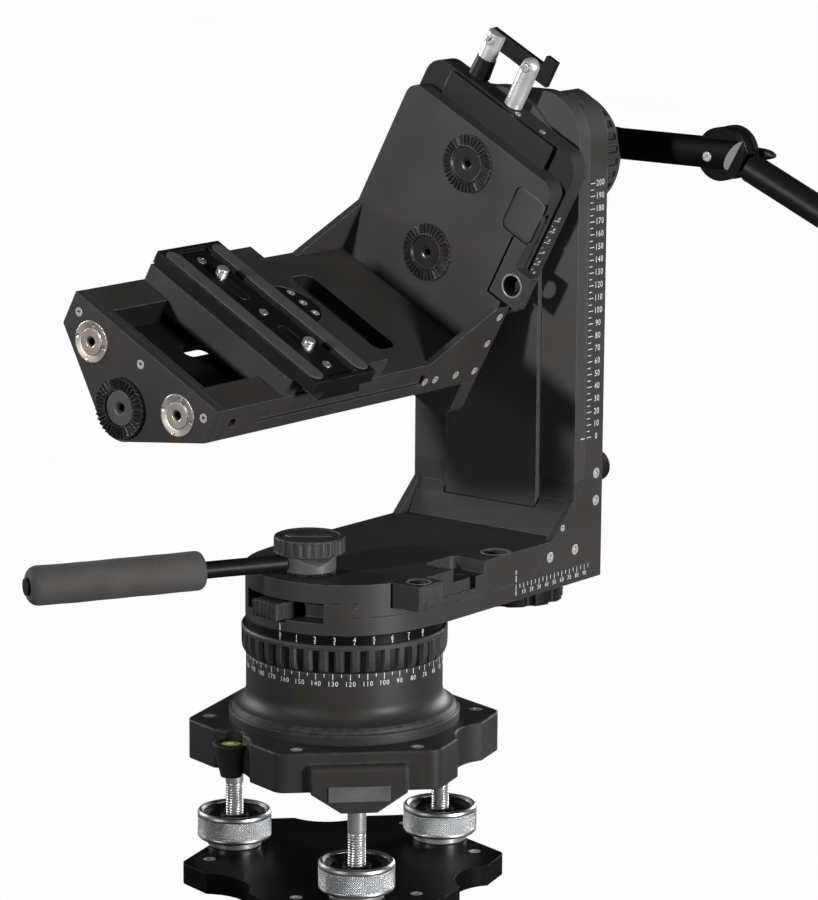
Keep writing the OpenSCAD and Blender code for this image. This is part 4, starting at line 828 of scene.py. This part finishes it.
PAD = [(0, -0.95), (0, 0.55), (0.25, 0.85), (0.7, 1.0), (3.0, 1.0)]
PAD_PLACES = [platform_axis(CAMERA_X + s * 26.0, -9.0, -99.2) for s in (-1, 1)]
fit(slab("camera_plate_pads", 6.98, 83.5, 6.98, PAD, PAD_PLACES),
    "camera_slide", RUBBER, "rubber", "camera_pads")
SLOT_PLATE = [(0, -0.2), (0, 0.12), (0.35, 0.3), (0.8, 0.3), (1.2, 0.05), (3.0, 0.05)]
SLOT_PLACES = [platform_axis(CAMERA_X, y, CHANNEL_Z) for y in (28, -42)]
fit(slab("channel_slots", 5.6, 18, 5.6, SLOT_PLATE, SLOT_PLACES), "camera_slide", GLOSS, "black_aluminium")


def camera_thread(a, r, h):
    """Screw thread on the end of a camera screw: a triangle wave that climbs one pitch in a turn."""
    pitch, depth = 1.59, 0.6
    return -depth * saw(h / pitch - a / TAU) * band(h, 8.6, 13.4, 0.8) * (r < 4.9)


CAMERA_SCREW = np.concatenate([
    fine([(2.0, -6.4), (7.4, -6.4), (7.95, -5.9), (7.95, -2.85), (4.7, -2.82)], 1.5),
    fine([(4.7, -2.8), (4.7, 6.9), (4.15, 7.0), (4.15, 8.15), (4.7, 8.2)], 1.0),
    np.linspace((4.74, 8.3), (4.74, 13.8), 30),
    fine([(4.6, 14.2), (3.9, 14.95), (0.5, 15.0)], 0.8),
])
for side, y in (("rear", 40.8), ("front", -54.2)):
    seat = platform_axis(CAMERA_X, y, CAMERA_SCREW_Z)
    screw = turned(f"threaded_stud_{side}", CAMERA_SCREW, [seat], 40, camera_thread)
    fit(screw, f"camera_screw_{side}", STEEL, "steel", f"camera_screw_{side}")


# Slotted screws on camera plate, tilt plate and crank


def screw_slot(width, depth, turn):
    """A driver slot across a head: a straight band through the middle, cut down by depth."""

    def lift(a, r, h):
        return -depth * band(np.abs(r * np.sin(a - turn)), -1, width / 2, 0.15) * (h > 0.4) * (r < 3.4)

    return lift


SCREW_HEAD = np.concatenate([
    fine([(3.9, -0.4), (3.9, 0.5), (3.5, 0.8)], 0.5),
    np.linspace((3.3, 0.85), (0.2, 0.85), 16),
])


def slotted_screws(name, places, turn, body):
    """Screw heads of one piece, whose slots stand at an angle."""
    fit(turned(name, SCREW_HEAD, places, 64, lift=screw_slot(0.9, 0.7, turn)), body, STEEL, "steel")


CHANNEL_SCREWS = [platform_axis(CAMERA_X, y, CHANNEL_Z + 0.1) for y in (62, -7, -76)]
slotted_screws("channel_screws", CHANNEL_SCREWS, 0.3, "camera_slide")
TOP_SCREWS = [platform_axis(x, y, TILT_PLATE_TOP) for x, y in ((167.4, -10.5), (168.5, -36))]
fit(turned("tilt_plate_top_screws", SCREW_HEAD * 0.7, TOP_SCREWS, 64, lift=screw_slot(0.7, 0.4, 0.9)),
    "tilt", STEEL, "steel")
slotted_screws("crank_pivot_head", [platform_face(CRANK_X, 0, 88.5)], 0.6, "crank")
slotted_screws("crank_grip_pivot_head", [platform_face(CRANK_X, 39, 89)], 1.2, "crank_grip")
SLEEVE = fine([(7.45, 56.4), (8.4, 56.4), (8.8, 57.0), (8.2, 66), (7.9, 72.6), (7.45, 73.2)], 1.2)
fit(turned("crank_grip_sleeve", SLEEVE, [platform_axis(172.5, 39, 0)], 72, closed=True),
    "crank_grip", BLACK, "black_aluminium")


# Clamp levers: ribs under the thumb, cover of the pivot, and rims of the holes

RIB_PITCH, RIB_R = 2.2, 0.8


def ribs(name, count, length, where):
    """A row of half-round ribs: each is a half circle swept along its length, with the ends drawn in."""
    a = np.linspace(-0.35, math.pi + 0.35, 9)
    t = np.array([0, 0.5, 1.5, length - 1.5, length - 0.5, length])[:, None]
    k = np.array([0.35, 0.8, 1.0, 1.0, 0.8, 0.35])[:, None]
    one = np.stack(np.broadcast_arrays(RIB_R * np.cos(a) * k, t, RIB_R * np.sin(a) * k), -1)
    off = (np.arange(count) - (count - 1) / 2)[:, None, None, None] * np.array([RIB_PITCH, 0, 0])
    return grid_piece(name, moved(one + off, where), 3 * RIB_R, np.arange(len(t)) * 2.0)


ARM_RIBS = place((-14.5, -93.9, 248.6), (0, -1, 0), (-1, 0, 0))
PLATFORM_RIBS = place(platform_point(158.4, -92.9, -57.5), tuple(-v for v in PLATFORM_SIDE), PLATFORM_UP)
fit(ribs("arm_lever_ribs", 12, 17.0, ARM_RIBS), "arm_lever", GREY, "black_aluminium")
fit(ribs("platform_lever_ribs", 10, 10.0, PLATFORM_RIBS), "platform_lever", GREY, "black_aluminium")
COVER = [(0, -3.0), (0, -1.95), (0.3, -1.6), (0.8, -1.5), (3.0, -1.5)]
fit(slab("lever_cover", 14.35, 18.6, 5.6, COVER, [platform_face(SIDE_X, -63.25, -3)]),
    "platform", PANEL, "grey_aluminium")
# The pale rims of the lever holes and of the arm's level are a painted highlight.
HOLE_RIM = fine([(8.05, -0.9), (8.05, 0.0), (8.5, 0.2), (9.3, 0.2), (9.7, 0.02), (9.7, -0.2)], 0.6)
fit(turned("arm_lever_rim", HOLE_RIM, [upright_at(-14, -82, ARM_TOP)], 96, closed=True),
    "arm_lever", RIM_HIGHLIGHT, "black_aluminium")
fit(turned("platform_lever_rim", HOLE_RIM, [platform_face(SIDE_X, -81, -57)], 96, closed=True),
    "platform_lever", RIM_HIGHLIGHT, "black_aluminium")
LEVEL_RIM = fine([(9.65, -1.2), (9.65, -0.3), (10.1, 0.15), (11.6, 0.2), (12.0, 0.02), (12.0, -0.3)], 0.6)
fit(turned("arm_level_rim", LEVEL_RIM, [upright_at(101, -67, ARM_TOP)], 96, closed=True),
    "arm", RIM_HIGHLIGHT, "grey_aluminium")


# Handle knuckle


def half_round(start, low, high, lean, depth, half):
    """A bar with a half-elliptic front: columns run round the ellipse and back along its flat, rows from one
    end to an end that is cut off at a slant, further out where it is higher and nearer to the flat."""
    bow, back, rows = 41, 7, 12
    quarter = math.pi / 2
    a = np.concatenate([np.linspace(-quarter, quarter, bow), np.linspace(0.9, -0.9, back) * quarter])
    front = np.concatenate([np.ones(bow), np.zeros(back)])
    x = -depth * np.cos(a) * front
    z = half * np.where(front > 0, np.sin(a), a / quarter)
    cut = low + (high - low) * (z + half) / (2 * half) + lean * x
    t = np.linspace(0, 1, rows)[:, None]
    swell = np.clip(t / 0.1, 0, 1) ** 0.5
    y = -(start + (cut - start) * t)
    return np.stack(np.broadcast_arrays(TUBE_X + x * swell, y, knuckle[2] + z), -1)


SLEEVE_BAR = half_round(start=34.0, low=147.0, high=160.0, lean=0.9, depth=5.2, half=11.6)
SLEEVE_ROUND = 60.0
fit(grid_piece("handle_tube_end", SLEEVE_BAR, SLEEVE_ROUND, np.linspace(0, 120, len(SLEEVE_BAR))),
    "handle", DARK, "black_aluminium")
# A thin pale sheet over the slanted cut end of the tube: a painted highlight.
FACET = np.stack([SLEEVE_BAR[-1], SLEEVE_BAR[-1] + (-0.12, -0.25, 0.05)])
fit(grid_piece("handle_tube_facet_highlight", FACET, SLEEVE_ROUND, np.array([0, 0.3])),
    "handle", RIM_HIGHLIGHT, "black_aluminium")
TUBE_SCREW = place((284.1, -131.0, knuckle[2] - 2), (-1, 0, 0), (0, 0, 1))
slotted_screws("handle_tube_screw", [TUBE_SCREW], 2.2, "handle")
WING_R = 9.5


def lobes(a, r, h):
    """Outline of the clamping wing: a long and a short lobe on a round hub, each a bell curve round it."""
    off = np.degrees((a + math.pi) % TAU - math.pi)
    long_lobe = 24.0 * np.exp(-(((off - 2) / 14) ** 2))
    short_lobe = 18.0 * np.exp(-(((off - 40) / 15) ** 2))
    return (long_lobe + short_lobe) * r / WING_R


lo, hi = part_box("handle_wing")
wing_back = PER_M * hi.x
WING = fine([
    (0.5, 313.7), (8.2, 313.7), (9.2, 314.4), (WING_R, 315.6), (WING_R, wing_back - 2),
    (9.2, wing_back - 0.8), (8.2, wing_back - 0.1), (0.5, wing_back - 0.1),
], 0.8)
WING_AXIS = place((0, knuckle[1], knuckle[2]), (1, 0, 0), (0, -1, 0))
fit(turned("clamping_wing", WING, [WING_AXIS], 180, swell=lobes),
    "handle_wing", BLACK, "black_aluminium", "handle_wing")


# Scales

INK = 0.05  # half the thickness of the paint
FIGURE_WIDTH, FIGURE_STEP = 0.92, 0.78  # of a figure's height
BOX = np.array([(x, y, z) for z in (0, 1) for y in (0, 1) for x in (0, 1)], float)
BOX_FACES = np.array([(0, 2, 3, 1), (4, 5, 7, 6), (0, 1, 5, 4), (2, 6, 7, 3), (0, 4, 6, 2), (1, 3, 7, 5)])


def glyphs():
    """The figures 0 to 9 of Blender's own font as (points, triangles): solid, thin, of height 1."""
    out = {}
    for ch in "0123456789":
        curve = bpy.data.curves.new("figure", "FONT")
        curve.body = ch
        curve.resolution_u = 3
        curve.extrude = 0.004
        obj = bpy.data.objects.new("figure", curve)
        bpy.context.scene.collection.objects.link(obj)
        bpy.context.view_layer.update()
        me = obj.evaluated_get(bpy.context.evaluated_depsgraph_get()).to_mesh()
        me.calc_loop_triangles()
        co = np.zeros(len(me.vertices) * 3)
        me.vertices.foreach_get("co", co)
        tri = np.zeros(len(me.loop_triangles) * 3, int)
        me.loop_triangles.foreach_get("vertices", tri)
        co = co.reshape(-1, 3)
        low, high = co.min(0), co.max(0)
        co = (co - [(low[0] + high[0]) / 2, low[1], 0]) / (high[1] - low[1])
        out[ch] = (co, tri.reshape(-1, 3))
        bpy.data.objects.remove(obj)
        bpy.data.curves.remove(curve)
    return out


FIGURES = glyphs()


def number(text, x, y, height):
    """Points and triangles of a number whose middle is at x and whose foot is at y."""
    pts, tris, base = [], [], 0
    for k, ch in enumerate(text):
        co, tri = FIGURES[ch]
        along = (k - (len(text) - 1) / 2) * height * FIGURE_STEP
        ink = np.where(co[:, 2:] > 0, INK, -INK) * (0, 0, 1)
        pts.append(co * (height * FIGURE_WIDTH, height, 0) + (along, 0, 0) + ink)
        tris.append(tri + base)
        base += len(co)
    return np.concatenate(pts) + (x, y, 0), np.concatenate(tris)


def flat_map(origin, right, up):
    """Lays a drawing on a plane: x to the right, y up, the paint's thickness outwards."""
    o, r, u = (np.array(v, float) for v in (origin, right, up))
    return lambda p: o + p[:, :1] * r + p[:, 1:2] * u + p[:, 2:] * np.cross(r, u)


def side_map(x, z):
    """Lays a drawing on the right side of arm, upright and turntable."""
    return flat_map((x, SIDE_Y, z), (1, 0, 0), (0, 0, 1))


def drum_map(radius, height, start):
    """Wraps a drawing round the pan axis: x is the arc length from an angle, y the height."""

    def wrap(p):
        a = start + p[:, 0] / radius
        r = radius + p[:, 2]
        return np.stack([r * np.cos(a), r * np.sin(a), height + p[:, 1]], -1)

    return wrap


def by_ten(v, whole, between):
    """One value for the marks at whole tens and another for those between."""
    return between if v % 10 else whole


def scale(name, ticks, numbers, lay, body, slot):
    """A painted scale as one piece: ticks are thin blocks (x, y, width, height), and numbers are
    (text, x, y, height)."""
    t = np.asarray(ticks, float)
    size = np.stack([t[:, 2], t[:, 3], np.full(len(t), 2 * INK)], -1)
    corner = np.stack([t[:, 0] - t[:, 2] / 2, t[:, 1], np.full(len(t), -INK)], -1)
    points = [(BOX[None] * size[:, None] + corner[:, None]).reshape(-1, 3)]
    loops = [(BOX_FACES[None] + (np.arange(len(t)) * len(BOX))[:, None, None]).reshape(-1)]
    sizes = [np.full(len(t) * len(BOX_FACES), 4)]
    base = len(t) * len(BOX)
    for text, x, y, height in numbers:
        p, tri = number(text, x, y, height)
        points.append(p)
        loops.append(tri.reshape(-1) + base)
        sizes.append(np.full(len(tri), 3))
        base += len(p)
    loops, sizes = np.concatenate(loops), np.concatenate(sizes)
    uv = np.zeros((len(loops), 2))
    piece = make_piece(name, lay(np.concatenate(points)), loops, sizes, uv, smooth_angle=20)
    fit(piece, body, WHITE, slot)


UPRIGHT_ZERO, ARM_ZERO = 324.8, 111.7  # height and X of the zero marks
INDEX_ANGLE = math.radians(179.4)  # index line of the drag numbers
scale("upright_scale", [(by_ten(v, 3.4, 2.4), v - 0.3, by_ten(v, 6.0, 4.0), 0.6) for v in range(0, 201, 5)],
      [(str(v), 13.2, v - 2.3, 4.8) for v in range(0, 201, 10)],
      side_map(201.5, UPRIGHT_ZERO), "arm", "grey_aluminium")
scale("column_index", [(0, -0.4, 5.0, 0.8)], [], side_map(196.6, UPRIGHT_ZERO), "column", "grey_aluminium")
scale("arm_slide_scale", [(v, by_ten(v, -4.6, -3.2), 0.6, by_ten(v, 4.6, 3.2)) for v in range(0, 96, 5)],
      [(str(v), v, -8.6, 3.4) for v in range(0, 91, 10)],
      side_map(ARM_ZERO, 223.6), "turntable", "grey_aluminium")
scale("arm_slide_index", [(0, 0, 0.8, 5.0)], [("0", 0, 6.0, 3.2)],
      side_map(ARM_ZERO, 225.6), "arm", "grey_aluminium")
arc = math.radians(10) * DRUM_R
scale("degree_scale",
      [(-k * arc / 2, by_ten(5 * k, -4.6, -2.6), 0.55, by_ten(5 * k, 4.6, 2.6)) for k in range(72)],
      [(str(10 * k), -k * arc, -9.4, 3.7) for k in range(36)],
      drum_map(DRUM_R, 181.7, math.radians(342.4)), "base", "black_aluminium")
step = math.radians(11.3) * BAND_R
scale("drag_numbers", [(k * step, 0.2, 0.7, 1.6) for k in range(9)],
      [(str(k), k * step, 2.3, 3.6) for k in range(9)],
      drum_map(BAND_R, 204.0, INDEX_ANGLE), "pan_ring", "black_aluminium")
scale("drag_index", [(0, 0, 0.9, 5.5)], [],
      drum_map(TURNTABLE_R, 211.2, INDEX_ANGLE), "turntable", "grey_aluminium")
scale("lift_scale", [(v, 0.0, 0.5, by_ten(v, 3.6, 2.2)) for v in range(-30, 31, 5)],
      [(str(abs(v)), v, 4.4, 3.3) for v in range(-30, 31, 10)],
      flat_map(platform_point(166.0, -80.0, -30.0), PLATFORM_UP, (1, 0, 0)), "tilt", "grey_aluminium")


# Floor, light and camera

FLOOR, DROP = 40.0, -0.0005  # half of the floor's width, and its height just below the base
floor_mesh = bpy.data.meshes.new("studio_floor")
floor_mesh.from_pydata([(sx * FLOOR, sy * FLOOR, DROP) for sx, sy in ((-1, -1), (1, -1), (1, 1), (-1, 1))],
                       [], [(0, 1, 2, 3)])
floor = bpy.data.objects.new("studio_floor", floor_mesh)
floor_mesh.materials.append(floor_finish())
bpy.context.scene.collection.objects.link(floor)


def soft_light(name, where, target, width, power, spread=180):
    """A square softbox at a point, turned towards a target. A grid on it keeps its light within an angle."""
    data = bpy.data.lights.new(name, "AREA")
    data.shape, data.size, data.size_y, data.energy = "RECTANGLE", width, width, power
    data.spread = math.radians(spread)
    lamp = bpy.data.objects.new(name, data)
    lamp.location = where
    lamp.rotation_euler = (Vector(target) - Vector(where)).to_track_quat("-Z", "Y").to_euler()
    bpy.context.scene.collection.objects.link(lamp)


soft_light("left_softbox", (-2.93, 0.59, 1.1), (0.15, -0.045, 0.54), width=0.2, power=2.35, spread=26)
soft_light("front_softbox", (-1.35, -2.2, 2.3), (0.05, 0, 0.35), width=0.7, power=16)
soft_light("rear_softbox", (-0.3, 3.0, 1.1), (0.05, 0, 0.4), width=1.2, power=60)
soft_light("right_softbox", (0.0, -3.1, 0.42), (0.1, 0, 0.4), width=0.5, power=140)
soft_light("back_softbox", (3.1, 0.0, 0.7), (0.1, 0, 0.4), width=1.0, power=60)

# The room is white to the camera and dim in the light that it gives
world = bpy.data.worlds.new("studio")
world.use_nodes = True
room = world.node_tree
room.nodes.clear()
dim = Value(room, None).node("ShaderNodeBackground", {}, {"Color": grey(1.0), "Strength": 0.018})
white = dim.node("ShaderNodeBackground", {}, {"Color": grey(1.0), "Strength": 1.0})
seen = dim.node("ShaderNodeLightPath", {}, {}, "Is Camera Ray")
both = dim.node("ShaderNodeMixShader", {}, {0: seen, 1: dim, 2: white})
room.links.new(both.socket, room.nodes.new("ShaderNodeOutputWorld").inputs[0])
bpy.context.scene.world = world
bpy.context.scene.view_settings.view_transform = "Standard"

# Camera as fitted to the scales in the photograph: angles in radians, lens and frame in pixels
PAN, DIP, ROLL = 0.907018823, 0.202400757, 0.00763354816
FOCAL, FRAME_SIZE, SENSOR = 3887.659, 900.0, 36.0
CAMERA_PLACE = (-2.229956, -1.805089, 0.925516)
right = Vector((math.cos(PAN), -math.sin(PAN), 0))
ahead = Vector((math.sin(PAN) * math.cos(DIP), math.cos(PAN) * math.cos(DIP), -math.sin(DIP)))
above = right.cross(ahead)
across = right * math.cos(ROLL) + above * math.sin(ROLL)
upwards = above * math.cos(ROLL) - right * math.sin(ROLL)
lens = bpy.data.cameras.new("camera")
lens.sensor_width, lens.lens, lens.clip_end = SENSOR, FOCAL * SENSOR / FRAME_SIZE, 200.0
camera = bpy.data.objects.new("camera", lens)
view = Matrix((across, upwards, -ahead)).transposed().to_4x4()
view.translation = CAMERA_PLACE
camera.matrix_world = view
bpy.context.scene.collection.objects.link(camera)
bpy.context.scene.camera = camera
